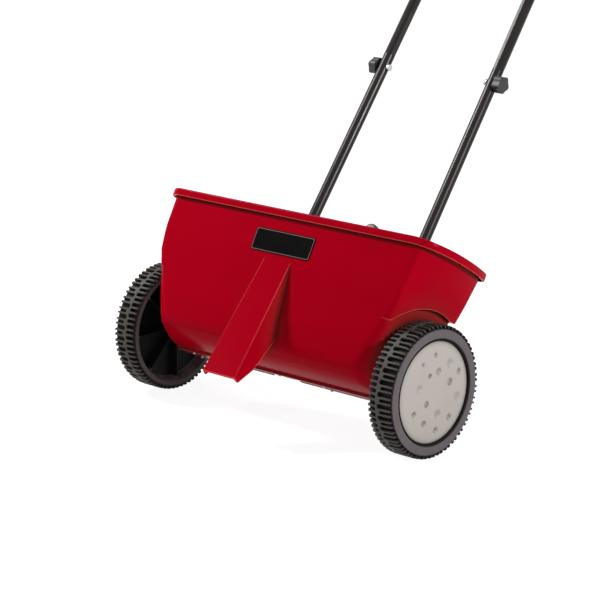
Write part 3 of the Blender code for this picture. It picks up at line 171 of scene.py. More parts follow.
def math_node(tree, operation, first, second=0.0, clamp=False):
    settings = {"operation": operation, "use_clamp": clamp}
    return add_node(tree, "ShaderNodeMath", settings, i0=first, i1=second).outputs[0]


def mix_colour(tree, factor, first, second):
    """Mixes two colours, each a socket or a tuple, by a factor."""
    node = tree.nodes.new("ShaderNodeMix")
    node.data_type = "RGBA"
    for index, value in ((0, factor), (6, first), (7, second)):
        socket = node.inputs[index]
        if isinstance(value, bpy.types.NodeSocket):
            tree.links.new(value, socket)
        else:
            socket.default_value = (*value, 1.0)
    return node.outputs[2]


def map_range(tree, value, low, high, new_low=0.0, new_high=1.0):
    ends = {"i1": low, "i2": high, "i3": new_low, "i4": new_high}
    return add_node(tree, "ShaderNodeMapRange", {"clamp": True}, i0=value, **ends).outputs[0]


def noise(tree, place, scale, detail, rough=0.5):
    """Cloudy values from 0 to 1 over a place."""
    settings = {"Vector": place, "Scale": scale, "Detail": detail, "Roughness": rough}
    return add_node(tree, "ShaderNodeTexNoise", **settings).outputs["Fac"]


def object_place(tree):
    return tree.nodes.new("ShaderNodeTexCoord").outputs["Object"]


def make_grain_group():
    """Fine pebbled grain of a moulded surface, with slow cloudy colour changes."""
    group, start, end = new_group(
        "moulded_grain",
        [("Grain Scale", "NodeSocketFloat", 900.0), ("Cloud Scale", "NodeSocketFloat", 14.0)],
        [("Height", "NodeSocketFloat"), ("Cloud", "NodeSocketFloat")])
    place = object_place(group)
    group.links.new(noise(group, place, start.outputs[0], 3.0, 0.6), end.inputs["Height"])
    group.links.new(noise(group, place, start.outputs[1], 4.0), end.inputs["Cloud"])
    return group


def make_nook_group():
    """How shut in a place is, from 0 in the open to 1 deep in a corner."""
    group, start, end = new_group(
        "nook_shade", [("Reach", "NodeSocketFloat", 0.05)], [("Nook", "NodeSocketFloat")])
    occlusion = add_node(group, "ShaderNodeAmbientOcclusion", {"samples": 8}, Distance=start.outputs[0])
    nook = math_node(group, "SUBTRACT", 1.0, occlusion.outputs["AO"], clamp=True)
    group.links.new(nook, end.inputs["Nook"])
    return group


def make_dust_group():
    """Scattered specks and wiped patches of dust."""
    group, start, end = new_group(
        "fine_dust", [("Scale", "NodeSocketFloat", 60.0), ("Amount", "NodeSocketFloat", 0.3)],
        [("Dust", "NodeSocketFloat")])
    patches = noise(group, object_place(group), start.outputs[0], 6.0, 0.7)
    lifted = map_range(group, patches, 0.45, 0.75)
    dust = math_node(group, "MULTIPLY", lifted, start.outputs[1], clamp=True)
    group.links.new(dust, end.inputs["Dust"])
    return group


# How far a rounded edge's normal turns, and how open the air is, from no line to a full one
EDGE_BEND = (0.012, 0.09)
EDGE_OPEN_AIR = (0.62, 0.92)
EDGE_AIR_REACH = 0.006


def make_edge_group():
    """A thin line of 1 along outer edges and corners, 0 on faces and deep in nooks; it marks where a
    highlight is painted.
    """
    group, start, end = new_group(
        "edge_line", [("Width", "NodeSocketFloat", 0.001)], [("Edge", "NodeSocketFloat")])
    bevel = add_node(group, "ShaderNodeBevel", {"samples": 6}, Radius=start.outputs[0])
    straight = group.nodes.new("ShaderNodeNewGeometry")
    product = add_node(group, "ShaderNodeVectorMath", {"operation": "DOT_PRODUCT"},
                       i0=bevel.outputs[0], i1=straight.outputs["Normal"])
    bent = map_range(group, math_node(group, "SUBTRACT", 1.0, product.outputs["Value"]), *EDGE_BEND)
    occlusion = add_node(group, "ShaderNodeAmbientOcclusion", {"samples": 6}, Distance=EDGE_AIR_REACH)
    open_air = map_range(group, occlusion.outputs["AO"], *EDGE_OPEN_AIR)
    group.links.new(math_node(group, "MULTIPLY", bent, open_air), end.inputs["Edge"])
    return group


GRAIN = make_grain_group()
NOOK = make_nook_group()
DUST = make_dust_group()
EDGE = make_edge_group()


def use_group(tree, group, **values):
    node = tree.nodes.new("ShaderNodeGroup")
    node.node_tree = group
    for label, value in values.items():
        node.inputs[label.replace("_", " ")].default_value = value
    return node


def new_finish(name):
    """A material with its node tree and its Principled shader."""
    finish = bpy.data.materials.new(name)
    finish.use_nodes = True
    tree = finish.node_tree
    shader = tree.nodes["Principled BSDF"]
    return finish, tree, shader


def bump_normal(tree, shader, height, strength, distance):
    bump = add_node(tree, "ShaderNodeBump", Height=height, Strength=strength, Distance=distance)
    tree.links.new(bump.outputs["Normal"], shader.inputs["Normal"])


def paint(tree, shader, colour):
    tree.links.new(colour, shader.inputs["Base Color"])


def cloudy_roughness(tree, shader, cloud, low, high):
    """Roughness that changes slowly over the surface."""
    rough = map_range(tree, cloud, 0.3, 0.7, low, high)
    tree.links.new(rough, shader.inputs["Roughness"])


def new_moulding(name, grain_scale, cloud_scale, rough, strength, distance=0.0003):
    """A moulded finish still without its colour, and the cloudy values to mix that by."""
    finish, tree, shader = new_finish(name)
    grain = use_group(tree, GRAIN, Grain_Scale=grain_scale, Cloud_Scale=cloud_scale)
    cloudy_roughness(tree, shader, grain.outputs["Cloud"], *rough)
    bump_normal(tree, shader, grain.outputs["Height"], strength, distance)
    return finish, tree, shader, grain.outputs["Cloud"]


def wheel_reach(tree):
    """Distance of a place from the axle, for finishes that change across a wheel."""
    axes = add_node(tree, "ShaderNodeSeparateXYZ", Vector=object_place(tree))
    y = math_node(tree, "SUBTRACT", axes.outputs["Y"], AXLE.y)
    z = math_node(tree, "SUBTRACT", axes.outputs["Z"], AXLE.z)
    squares = math_node(tree, "ADD", math_node(tree, "MULTIPLY", y, y), math_node(tree, "MULTIPLY", z, z))
    return math_node(tree, "SQRT", squares)


def make_red_plastic():
    """Crimson moulding with painted shade, brown in its corners and nooks, and a painted pale highlight
    along its edges.
    """
    finish, tree, shader, cloud = new_moulding("red_plastic_finish", 1400.0, 9.0, (0.15, 0.21), 0.04, 0.0002)
    wide_nook = use_group(tree, NOOK, Reach=0.085)
    close_nook = use_group(tree, NOOK, Reach=0.016)
    edge = use_group(tree, EDGE, Width=0.0024)
    tone = mix_colour(tree, cloud, (0.360, 0.0, 0.0080), (0.405, 0.0, 0.0120))
    # Painted shade: brown in the wide nooks, then near black in the tight creases.
    wide_painted_shade = map_range(tree, wide_nook.outputs["Nook"], 0.14, 0.60, 0.0, 0.60)
    close_painted_shade = map_range(tree, close_nook.outputs["Nook"], 0.12, 0.60)
    colour = mix_colour(tree, wide_painted_shade, tone, (0.200, 0.040, 0.025))
    colour = mix_colour(tree, close_painted_shade, colour, (0.050, 0.012, 0.008))
    # Painted highlight: a pale pink line along the outer edges.
    pale = math_node(tree, "MULTIPLY", edge.outputs["Edge"], 0.7)
    colour = mix_colour(tree, pale, colour, (0.95, 0.17, 0.15))
    paint(tree, shader, colour)
    shader.inputs["Specular IOR Level"].default_value = 0.010
    return finish


DUST_COLOUR = (0.30, 0.28, 0.25)


def plain_plastic(name, dark, light, rough, grain_scale, bump, dust=0.0):
    """A moulded finish of one tone, with cloudy changes, a pebbled surface and a little dust."""
    finish, tree, shader, cloud = new_moulding(name, grain_scale, 25.0, (rough - 0.06, rough + 0.06), bump)
    colour = mix_colour(tree, cloud, dark, light)
    if dust:
        specks = use_group(tree, DUST, Scale=90.0, Amount=dust)
        colour = mix_colour(tree, specks.outputs["Dust"], colour, DUST_COLOUR)
    paint(tree, shader, colour)
    return finish


# Distances from the axle between which a wheel's colour changes
LUG_TOP = (0.0952, 0.0992)
SIDE_WALL_START = (0.0795, 0.0815)
SIDE_WALL_END = (0.0945, 0.0925)
RECESS_EDGE = (0.0770, CAP_RADIUS)


def make_wheel_plastic():
    """Black tyre moulding: lug tops lighter grey, partly from wear and dust and partly as painted light on
    the tops; a lighter grey side wall; black pockets.
    """
    finish, tree, shader, cloud = new_moulding("wheel_plastic_finish", 1100.0, 60.0, (0.52, 0.68), 0.3)
    reach = wheel_reach(tree)
    top = map_range(tree, reach, *LUG_TOP)
    wall_end = map_range(tree, reach, *SIDE_WALL_END)
    wall = math_node(tree, "MULTIPLY", map_range(tree, reach, *SIDE_WALL_START), wall_end)
    # Lug tops: grey from wear and dust, and lighter still as painted light on the tops.
    worn_and_lit_top = mix_colour(tree, cloud, (0.056, 0.050, 0.047), (0.105, 0.096, 0.090))
    side = mix_colour(tree, cloud, (0.105, 0.090, 0.097), (0.150, 0.131, 0.138))
    colour = mix_colour(tree, top, (0.004, 0.004, 0.004), worn_and_lit_top)
    colour = mix_colour(tree, wall, colour, side)
    recess = map_range(tree, reach, *RECESS_EDGE)
    colour = mix_colour(tree, recess, colour, (0.003, 0.003, 0.003))
    paint(tree, shader, colour)
    shader.inputs["Specular IOR Level"].default_value = 0.12
    return finish


def make_cap_plastic():
    """Warm grey hub cap with painted shade in its dimples."""
    finish, tree, shader, cloud = new_moulding("cap_plastic_finish", 1500.0, 18.0, (0.42, 0.52), 0.12)
    nook = use_group(tree, NOOK, Reach=0.010)
    colour = mix_colour(tree, cloud, (0.410, 0.370, 0.348), (0.475, 0.430, 0.405))
    # Painted shade: darker grey deep in the dimples.
    shade = map_range(tree, nook.outputs["Nook"], 0.02, 0.24)
    colour = mix_colour(tree, shade, colour, (0.20, 0.185, 0.17))
    paint(tree, shader, colour)
    return finish


def make_tube_paint():
    """Black satin powder coat, a little uneven."""
    finish, tree, shader = new_finish("tube_paint_finish")
    cloud = noise(tree, object_place(tree), 30.0, 3.0)
    colour = mix_colour(tree, cloud, (0.018, 0.015, 0.015), (0.034, 0.028, 0.029))
    paint(tree, shader, colour)
    cloudy_roughness(tree, shader, cloud, 0.20, 0.28)
    shader.inputs["Specular IOR Level"].default_value = 0.10
    return finish


def make_foam():
    """Closed-cell foam: fine open pores and a dusty sheen."""
    finish, tree, shader = new_finish("foam_finish")
    place = object_place(tree)
    cells = add_node(tree, "ShaderNodeTexVoronoi", {"feature": "F1"}, Vector=place, Scale=900.0)
    pores = map_range(tree, cells.outputs["Distance"], 0.1, 0.7)
    colour = mix_colour(tree, pores, (0.012, 0.012, 0.012), (0.045, 0.044, 0.043))
    paint(tree, shader, colour)
    shader.inputs["Roughness"].default_value = 0.9
    bump_normal(tree, shader, pores, 0.7, 0.0005)
    shader.inputs["Sheen Weight"].default_value = 0.15
    shader.inputs["Specular IOR Level"].default_value = 0.2
    return finish


def make_zinc():
    """Zinc plated steel with a faint blue and yellow passivation and drawn lines."""
    finish, tree, shader = new_finish("zinc_finish")
    place = object_place(tree)
    stretched = add_node(tree, "ShaderNodeMapping", Vector=place, Scale=(40.0, 900.0, 900.0))
    drawn = noise(tree, stretched.outputs[0], 1.0, 2.0)
    tint = noise(tree, place, 55.0, 2.0)
    colour = mix_colour(tree, tint, (0.56, 0.56, 0.53), (0.47, 0.50, 0.56))
    paint(tree, shader, colour)
    shader.inputs["Metallic"].default_value = 1.0
    rough = map_range(tree, drawn, 0.2, 0.8, 0.28, 0.45)
    tree.links.new(rough, shader.inputs["Roughness"])
    bump_normal(tree, shader, drawn, 0.1, 0.0002)
    return finish


def make_label_film():
    """Glossy black film with faint ripples."""
    finish, tree, shader = new_finish("label_film_finish")
    place = object_place(tree)
    ripple = noise(tree, place, 60.0, 2.0)
    cloud = noise(tree, place, 25.0, 4.0)
    colour = mix_colour(tree, cloud, (0.003, 0.003, 0.003), (0.007, 0.006, 0.006))
    paint(tree, shader, colour)
    cloudy_roughness(tree, shader, cloud, 0.3, 0.4)
    bump_normal(tree, shader, ripple, 0.08, 0.0004)
    shader.inputs["Specular IOR Level"].default_value = 0.01
    return finish


RED = make_red_plastic()
WHEEL_BLACK = make_wheel_plastic()
CAP_GREY = make_cap_plastic()
TUBE_BLACK = make_tube_paint()
FOAM = make_foam()
ZINC = make_zinc()
LABEL_FILM = make_label_film()
LABEL_LINE = plain_plastic("label_line_finish", (0.14, 0.07, 0.07), (0.20, 0.10, 0.10), 0.45, 900.0, 0.1)
BLACK = plain_plastic(
    "black_plastic_finish", (0.010, 0.010, 0.011), (0.020, 0.019, 0.020), 0.48, 1000.0, 0.25, 0.06)
WHITE = plain_plastic(
    "white_plastic_finish", (0.66, 0.66, 0.64), (0.74, 0.74, 0.72), 0.4, 900.0, 0.1, 0.05)
INK = plain_plastic("scale_ink_finish", (0.012, 0.012, 0.013), (0.020, 0.020, 0.020), 0.5, 900.0, 0.1)

SLOT_FINISHES = {
    "red_plastic": RED,
    "black_label": LABEL_FILM,
    "white_plastic": WHITE,
    "black_plastic": BLACK,
    "grey_plastic": CAP_GREY,
    "black_tube": TUBE_BLACK,
    "black_foam": FOAM,
    "zinc_steel": ZINC,
}


def finish_cad_nodes():
    """Gives every CAD piece the finish of its slot in the record."""
    slots = {}
    for entry in frame["record"]["materials"]:
        for name in entry.get("nodes", []) + ([entry["node"]] if "node" in entry else []):
            slots[name] = entry["slot"]
    for name, item in frame["nodes"].items():
        label = slots.get(name) or item.data.materials[0].name
        known = [slot for slot in SLOT_FINISHES if label.startswith(slot)]
        item.data.materials.clear()
        item.data.materials.append(SLOT_FINISHES[known[0]] if known else BLACK)


# Wheels

TREAD_PERIODS = 35
PERIOD = math.tau / TREAD_PERIODS
CROWN_INNER_EDGE = 0.2605
CROWN_OUTER_EDGE = 0.2630
POCKET_FLOOR = 0.0946
POCKET_EDGE = 0.0003
WIDE_HALF = 3.35 * MM
NARROW_HALF = 2.15 * MM
FLANK = 0.45 * MM
NARROW_SETBACK = 4.2 * MM
INNER_WIDE_HALF = 2.9 * MM
INNER_NARROW_HALF = 2.4 * MM
INNER_NARROW_SETBACK = 0.4 * MM
CROWN_MARGIN = 0.4 * MM
POCKET_START = 0.1 * MM
TREAD_PHASE = math.radians(120.0)

# How far the inner row and the crown are turned against the outer row, in periods
INNER_SHIFT = -0.20
CROWN_SHIFT = -0.10

# Distances of the tread's rows from the crown's edges in mm, close together at the pockets' round ends
OUTER_STEPS = (17.0, 13.0, 9.6, 7.2, 6.0, 5.2, 4.6, 4.25, 3.9, 3.0, 2.1, 1.3, 0.7, 0.3, 0.05)
INNER_STEPS = (0.05, 0.3, 0.7, 1.3, 2.1, 3.2, 5.0, 8.0, 11.0)

# The tyre's shoulders: x and radius in a pocket, then x and radius on a lug
OUTER_SHOULDER = (
    (0.2835, 0.0946, 0.2835, 0.0998), (0.2850, 0.0945, 0.2855, 0.0992), (0.2862, 0.0942, 0.2866, 0.0980),
    (0.2868, 0.0937, 0.2873, 0.0960), (0.2873, 0.0930, 0.2877, 0.0940),
)
INNER_SHOULDER = (
    (0.2480, 0.0946, 0.2480, 0.0998), (0.2465, 0.0945, 0.2463, 0.0993), (0.2454, 0.0942, 0.2452, 0.0982),
    (0.2449, 0.0937, 0.2447, 0.0962), (0.2446, 0.0930, 0.2446, 0.0940),
)
# From the bore over the outer side to the tyre's shoulder, then from its inner shoulder back to the bore
OUTER_SECTION = (
    (0.2805, 0.0053), (0.2810, 0.0058), (0.2810, 0.0125), (0.2800, 0.0133), (0.2665, 0.0145),
    (0.2660, 0.0150), (0.2660, 0.0690), (0.2665, 0.0702), (0.2820, 0.0718), (0.2825, 0.0722),
    (0.2825, 0.0766), (0.2828, 0.0768), (0.2866, 0.0769), (0.2872, 0.0771), (0.2875, 0.0775),
    (0.2874, 0.0780), (0.2868, 0.0783), (0.2862, 0.0787), (0.2863, 0.0792), (0.2871, 0.0797),
    (0.2877, 0.0803), (0.2880, 0.0812), (0.2880, 0.0860), (0.2879, 0.0905), (0.2877, 0.0920),
)
INNER_SECTION = (
    (0.2445, 0.0922), (0.2445, 0.0872), (0.2447, 0.0865), (0.2455, 0.0860), (0.2600, 0.0832),
    (0.2614, 0.0824), (0.2620, 0.0810), (0.2620, 0.0160), (0.2614, 0.0147), (0.2370, 0.0131),
    (0.2360, 0.0126), (0.2359, 0.0060), (0.2364, 0.0053),
)


def pocket_half(distance, half):
    """Half width of a round-ended pocket at a distance from its closed end."""
    share = min(max(distance, POCKET_EDGE) / half, 1.0)
    return half * math.sqrt(1 - (1 - share) ** 2)


def tread_stations():
    """Rows across the tread: place in a pocket and on a lug, distances from closed ends, and side."""
    rows = []
    for floor_x, floor_r, top_x, top_r in reversed(OUTER_SHOULDER):
        reach = floor_x - CROWN_OUTER_EDGE
        rows.append((floor_x, floor_r, top_x, top_r, reach, reach - NARROW_SETBACK, 1))
    for step in OUTER_STEPS:
        x, reach = CROWN_OUTER_EDGE + step * MM, step * MM
        rows.append((x, POCKET_FLOOR, x, WHEEL_RADIUS, reach, reach - NARROW_SETBACK, 1))
    for x in (CROWN_OUTER_EDGE - CROWN_MARGIN, CROWN_INNER_EDGE + CROWN_MARGIN):
        rows.append((x, POCKET_FLOOR, x, WHEEL_RADIUS, -1.0, -1.0, 0))
    for step in INNER_STEPS:
        x, reach = CROWN_INNER_EDGE - step * MM, step * MM
        rows.append((x, POCKET_FLOOR, x, WHEEL_RADIUS, reach, reach - INNER_NARROW_SETBACK, -1))
    for floor_x, floor_r, top_x, top_r in INNER_SHOULDER:
        reach = CROWN_INNER_EDGE - floor_x
        rows.append((floor_x, floor_r, top_x, top_r, reach, reach, -1))
    return rows


def tread_row(station):
    """One ring of tread points: each period holds a wide and a narrow pocket between lugs."""
    floor_x, floor_r, top_x, top_r, wide_reach, narrow_reach, row = station
    wide_size = WIDE_HALF if row >= 0 else INNER_WIDE_HALF
    narrow_size = NARROW_HALF if row >= 0 else INNER_NARROW_HALF
    shift = {1: 0.0, 0: CROWN_SHIFT, -1: INNER_SHIFT}[row]
    flank = FLANK / WHEEL_RADIUS
    ring = []
    for period in range(TREAD_PERIODS):
        base = TREAD_PHASE + (period + shift) * PERIOD
        for middle, reach, size in ((0.0, wide_reach, wide_size), (0.5, narrow_reach, narrow_size)):
            half = pocket_half(reach, size) / WHEEL_RADIUS
            centre = base + middle * PERIOD
            low = 0.0 if reach > POCKET_START else 1.0
            ring += [(centre - half - flank, 1.0), (centre - half, low), (centre, low)]
            ring += [(centre + half, low), (centre + half + flank, 1.0), (centre + 0.25 * PERIOD, 1.0)]
    points = []
    for angle, height in ring:
        x = floor_x + (top_x - floor_x) * height
        radius = floor_r + (top_r - floor_r) * height
        points.append((x, radius, angle))
    return points


def make_wheel(word, side, body):
    """The whole wheel moulding as one closed surface: tyre tread, side walls, web and hub."""
    tread = [tread_row(station) for station in tread_stations()]
    angles = [angle for _, _, angle in tread[0]]
    inner_angles = [angle for _, _, angle in tread[-1]]
    rings = [[(x, radius, angle) for angle in angles] for x, radius in OUTER_SECTION]
    rings += tread
    rings += [[(x, radius, angle) for angle in inner_angles] for x, radius in INNER_SECTION]
    points = []
    for ring in rings:
        for x, radius, angle in ring:
            points.append((side * x, AXLE.y + radius * math.cos(angle), AXLE.z + radius * math.sin(angle)))
    faces = facing(-side, ring_faces(len(rings), len(angles)))
    node = f"wheel_{word}"
    add_piece(f"tyre_and_hub_{word}", points, faces, WHEEL_BLACK, body, [node], 30.0)


RIB_COUNT = 8
RIB_HALF_FOOT = 1.4 * MM
RIB_HALF_TOP = 0.9 * MM
RIB_LEVELS = ((0.2625, RIB_HALF_FOOT), (0.2482, RIB_HALF_TOP), (0.2477, RIB_HALF_TOP * 0.5))
RIB_START = 0.0128
RIB_END = 0.0858


def make_wheel_ribs(word, side, body):
    """Thin tapering ribs that stiffen the wheel's inner recess."""
    points, faces = [], []
    for number in range(RIB_COUNT):
        spoke = math.tau * number / RIB_COUNT
        along = Vector((0, math.cos(spoke), math.sin(spoke)))
        across = Vector((0, -math.sin(spoke), math.cos(spoke)))
        first = len(points)
        for x, half in RIB_LEVELS:
            for reach, turn in ((RIB_START, -1), (RIB_START, 1), (RIB_END, 1), (RIB_END, -1)):
                spot = AXLE + along * reach + across * (turn * half)
                points.append((side * x, spot.y, spot.z))
        faces += [tuple(first + corner for corner in face) for face in plate_faces(4, len(RIB_LEVELS))]
    add_piece(f"wheel_ribs_{word}", points, facing(side, faces), WHEEL_BLACK, body, (), 30.0)


# Dimples of the hub cap: Y and Z from the axle and radius in mm, and depth as a multiple of DIMPLE_DEPTH
DIMPLES = (
    (3.4, 55.8, 4.2, 0.9), (-24.5, 46.4, 3.8, 0.8), (34.8, 37.2, 8.5, 0.9), (9.1, 30.1, 6.5, 1.0),
    (56.1, 20.9, 5.5, 1.1), (-10.6, 27.3, 4.2, 1.0), (34.6, 9.3, 6.5, 1.3), (-34.1, 12.8, 7.0, 0.7),
    (51.7, -17.1, 8.5, 0.9), (-18.3, -14.0, 5.5, 1.2), (-44.9, -23.7, 5.0, 1.0), (6.5, -34.3, 8.0, 1.0),
    (34.0, -44.8, 6.0, 1.1), (-22.9, -42.5, 5.5, 1.1), (3.9, -58.2, 5.5, 1.0),
)


DIMPLE_DEPTH = 3.2 * MM
DIMPLE_CURVE = 1.15
CAP_SIDES = 192
CAP_RINGS = 65
CAP_FACE_RADIUS = 0.0752


def cap_depth(y, z):
    """How far the dimples sink the cap's face at a place, in metres."""
    sunk = 0.0
    for middle_y, middle_z, radius, depth in DIMPLES:
        share = ((y / MM - middle_y) ** 2 + (z / MM - middle_z) ** 2) / radius ** 2
        if share < 1.0:
            sunk = max(sunk, depth * DIMPLE_DEPTH * (1 - share) ** DIMPLE_CURVE)
    return sunk


def make_hub_cap(word, side, body):
    """A slightly domed disc with soft round dimples and a rounded rim."""
    angles = [math.tau * i / CAP_SIDES for i in range(CAP_SIDES)]
    edge = OUTER_FACE - CAP_DOME
    points = []
    for step in range(1, CAP_RINGS + 1):
        radius = CAP_FACE_RADIUS * step / CAP_RINGS
        x = edge + CAP_DOME * (1 - (radius / CAP_RADIUS) ** 2) ** 0.8
        for angle in angles:
            y, z = radius * math.cos(angle), radius * math.sin(angle)
            points.append((side * (x - cap_depth(y, z)), AXLE.y + y, AXLE.z + z))
    lip = [(edge + 0.0001, 0.0759), (edge - 0.0003, 0.0763), (edge - 0.0008, CAP_RADIUS)]
    lip += [(CAP_SEAT, CAP_RADIUS), (CAP_SEAT, 0.0722), (edge - 0.0015, 0.0718), (edge - 0.0012, 0.0600)]
    lip.append((OUTER_FACE - 0.0024, 0.0200))
    points += turned_points([(side * x, radius) for x, radius in lip], angles)
    faces = facing(side, plate_faces(CAP_SIDES, CAP_RINGS + len(lip)))
    node = f"hub_cap_{word}"
    add_piece(f"hub_disc_{word}", points, faces, CAP_GREY, body, [node], 40.0)


# Label on the front wall, bare

LABEL_HALF_WIDTH = 0.060
LABEL_HALF_HEIGHT = 0.018
LABEL_CORNER = 0.004
LABEL_HALF_THICKNESS = 0.0004
LINE_OUTER = 1.3 * MM
LINE_INNER = 2.0 * MM
LINE_CORNER = 3.0 * MM


def label_ring(spot, inset, corner, height):
    outline = round_rectangle(LABEL_HALF_WIDTH - inset, LABEL_HALF_HEIGHT - inset, corner)
    return [spot @ Vector((x, y, height)) for x, y in outline]


def make_label():
    """A thin plate with a soft edge, and a narrow raised line just inside it."""
    tilt = Matrix.Rotation(math.pi / 2 - WORKING_TILT, 4, "X")
    spot = Matrix.Translation(node_middle("label_plate")) @ tilt
    half = LABEL_HALF_THICKNESS
    levels = ((0.0, -half), (0.0, half * 0.3), (0.25 * MM, half))
    points = []
    for inset, height in levels:
        points += label_ring(spot, inset, LABEL_CORNER - inset, height)
    count = len(points) // len(levels)
    faces = plate_faces(count, len(levels))
    add_piece("label_film", points, faces, LABEL_FILM, "hopper", ["label_plate"], 40.0)
    foot, top = half - 0.1 * MM, half + 0.05 * MM
    line = []
    for inset, height in ((LINE_OUTER, foot), (LINE_OUTER, top), (LINE_INNER, top), (LINE_INNER, foot)):
        line += label_ring(spot, inset, LINE_CORNER, height)
    add_piece("label_line", line, ring_faces(4, count), LABEL_LINE, "hopper", (), 40.0)


# Hopper, drawn upright in its own frame: lengthways X, forwards -Y, upwards Z, from the axle

WALL = 0.003
RIM_HEIGHT = 0.200
RIM_LIP = 0.012
RIM_OVERHANG = 0.006
RIM_CORNER = 0.018
FRONT_REACH = 0.101
REAR_REACH = 0.066
REAR_LEAN = math.radians(9.8)
REAR_KNEE_HEIGHT = -0.015
FLOOR_FACE = -0.0305
FLARE_HALF = 0.250
FLARE_REAR_CORNER = 0.012
FLARE_FOOT_CORNER = 0.014
FLARE_FOOT_FRONT = 0.074
END_SWELL = 0.024
SWELL_FOOT = 0.105
SWELL_CURVE = 1.3
SWELL_PLACE = 0.37
END_STEPS = 10
CORE_HALF_AT_AXLE = 0.228
CORE_HALF_LIMIT = 0.2415
CORE_END_LEAN = math.radians(6.4)
ARCH_RADIUS = 0.116
FLARE_FOOT_REAR = 0.112
FLARE_STEP = 0.0001
ARC_STEPS = 9
ARCH_STEPS = 60
SIDES = 48
CORNER_SOFTNESS = 0.003

# Heights above the axle with the front wall's reach, the flares' half length and their front corners' radius
FRONT_KNOTS = (
    (FLOOR_FACE, 0.012), (-0.0285, 0.026), (-0.0255, 0.046), (-0.019, 0.0645), (-0.008, 0.080),
    (0.004, 0.087), (0.037, 0.0935), (0.130, FRONT_REACH), (RIM_HEIGHT, FRONT_REACH),
)
FLARE_HALF_KNOTS = (
    (FLARE_FOOT_FRONT, 0.2380), (0.085, 0.2422), (0.100, 0.2458), (0.143, 0.2495), (RIM_HEIGHT, FLARE_HALF),
)
FLARE_CORNER_KNOTS = ((FLARE_FOOT_FRONT, 0.012), (0.095, 0.006), (0.143, 0.006), (RIM_HEIGHT, 0.010))

# Heights above the axle with the radii of the front and rear corners of the body between the wheels
CORE_FRONT_KNOTS = ((0.0, 0.039), (FLARE_FOOT_FRONT, 0.012))
CORE_REAR_KNOTS = ((0.0, 0.027), (RIM_HEIGHT, 0.018))

# Heights where the bulging ends change
SWELL_HEIGHTS = (FLARE_FOOT_FRONT, SWELL_FOOT, 0.118, 0.143, 0.158, 0.178)


def between(value, knots):
    """A value read off a line through knots of (place, value) pairs."""
    if value <= knots[0][0]:
        return knots[0][1]
    for (before, low), (after, high) in zip(knots[:-1], knots[1:]):
        if value <= after:
            return low + (high - low) * (value - before) / (after - before)
    return knots[-1][1]


def softened(value, knots):
    """The same line with its corners rounded."""
    spots = [value + CORNER_SOFTNESS * k / 3 for k in (-3, -2, -1, 0, 1, 2, 3)]
    low, high = knots[0][0], knots[-1][0]
    if value - CORNER_SOFTNESS < low or value + CORNER_SOFTNESS > high:
        return between(value, knots)
    return sum(between(spot, knots) for spot in spots) / len(spots)


REAR_KNEE_REACH = REAR_REACH - math.tan(REAR_LEAN) * (RIM_HEIGHT - REAR_KNEE_HEIGHT)
REAR_KNOTS = ((FLOOR_FACE, 0.013), (REAR_KNEE_HEIGHT, REAR_KNEE_REACH), (RIM_HEIGHT, REAR_REACH))
WALL_HEIGHTS = tuple(height for height, _ in FRONT_KNOTS + REAR_KNOTS) + SWELL_HEIGHTS


def front_reach(height):
    return softened(height, FRONT_KNOTS)


def rear_reach(height):
    return softened(height, REAR_KNOTS)


def inner_front(height):
    return front_reach(height - WALL) - WALL


def inner_rear(height):
    return rear_reach(height - WALL) - WALL


def core_half(height):
    return min(CORE_HALF_AT_AXLE + math.tan(CORE_END_LEAN) * height, CORE_HALF_LIMIT)


def core_corners(height):
    """Radii of the front and rear corners of the hopper between the wheels at a height."""
    return between(height, CORE_FRONT_KNOTS), between(height, CORE_REAR_KNOTS)


def swell(height):
    """How far the ends bulge at a height: not at all over the wheels, most at the rim."""
    share = min(max((height - SWELL_FOOT) / (RIM_HEIGHT - SWELL_FOOT), 0.0), 1.0)
    return END_SWELL * share ** SWELL_CURVE


def rounded(corners, radii, steps=ARC_STEPS, closed=True):
    """Corners of an outline or path, each turned into an arc of its own radius."""
    points = []
    count = len(corners)
    for i, (corner, radius) in enumerate(zip(corners, radii)):
        here = Vector(corner)
        if not closed and i in (0, count - 1):
            points.append(tuple(here))
            continue
        before = (Vector(corners[i - 1]) - here).normalized()
        after = (Vector(corners[(i + 1) % count]) - here).normalized()
        half = before.angle(after) / 2
        centre = here + (before + after).normalized() * (radius / math.sin(half))
        start = here + before * (radius / math.tan(half)) - centre
        end = here + after * (radius / math.tan(half)) - centre
        sweep = start.angle(end)
        for step in range(steps + 1):
            share = step / steps
            spoke = start * math.sin((1 - share) * sweep) + end * math.sin(share * sweep)
            points.append(tuple(centre + spoke / math.sin(sweep)))
    return points


def end_steps(start, end):
    """Points between two corners, so that a bulging end has something to bend."""
    shares = [step / (END_STEPS + 1) for step in range(1, END_STEPS + 1)]
    return [tuple(Vector(start).lerp(Vector(end), share)) for share in shares]


def level_outline(half, front, rear, radii, bulge=0.0):
    """A level cut with rounded corners, whose two ends bulge between them."""
    corners = [(-half, -front), (half, -front), (half, rear), (-half, rear)]
    limit = 0.45 * (front + rear)
    ahead, astern = (min(radius, limit) for radius in radii)
    arcs = rounded(corners, [ahead, ahead, astern, astern])
    right = 2 * (ARC_STEPS + 1)
    right_end, left_end = end_steps(arcs[right - 1], arcs[right]), end_steps(arcs[-1], arcs[0])
    points = arcs[:right] + right_end + arcs[right:] + left_end
    fullest = -front + SWELL_PLACE * (front + rear)
    outline = []
    for x, y in points:
        away = (fullest - y) / (fullest + front) if y < fullest else (y - fullest) / (rear - fullest)
        outline.append((x + math.copysign(bulge * (1 - away ** 2), x), y))
    return outline


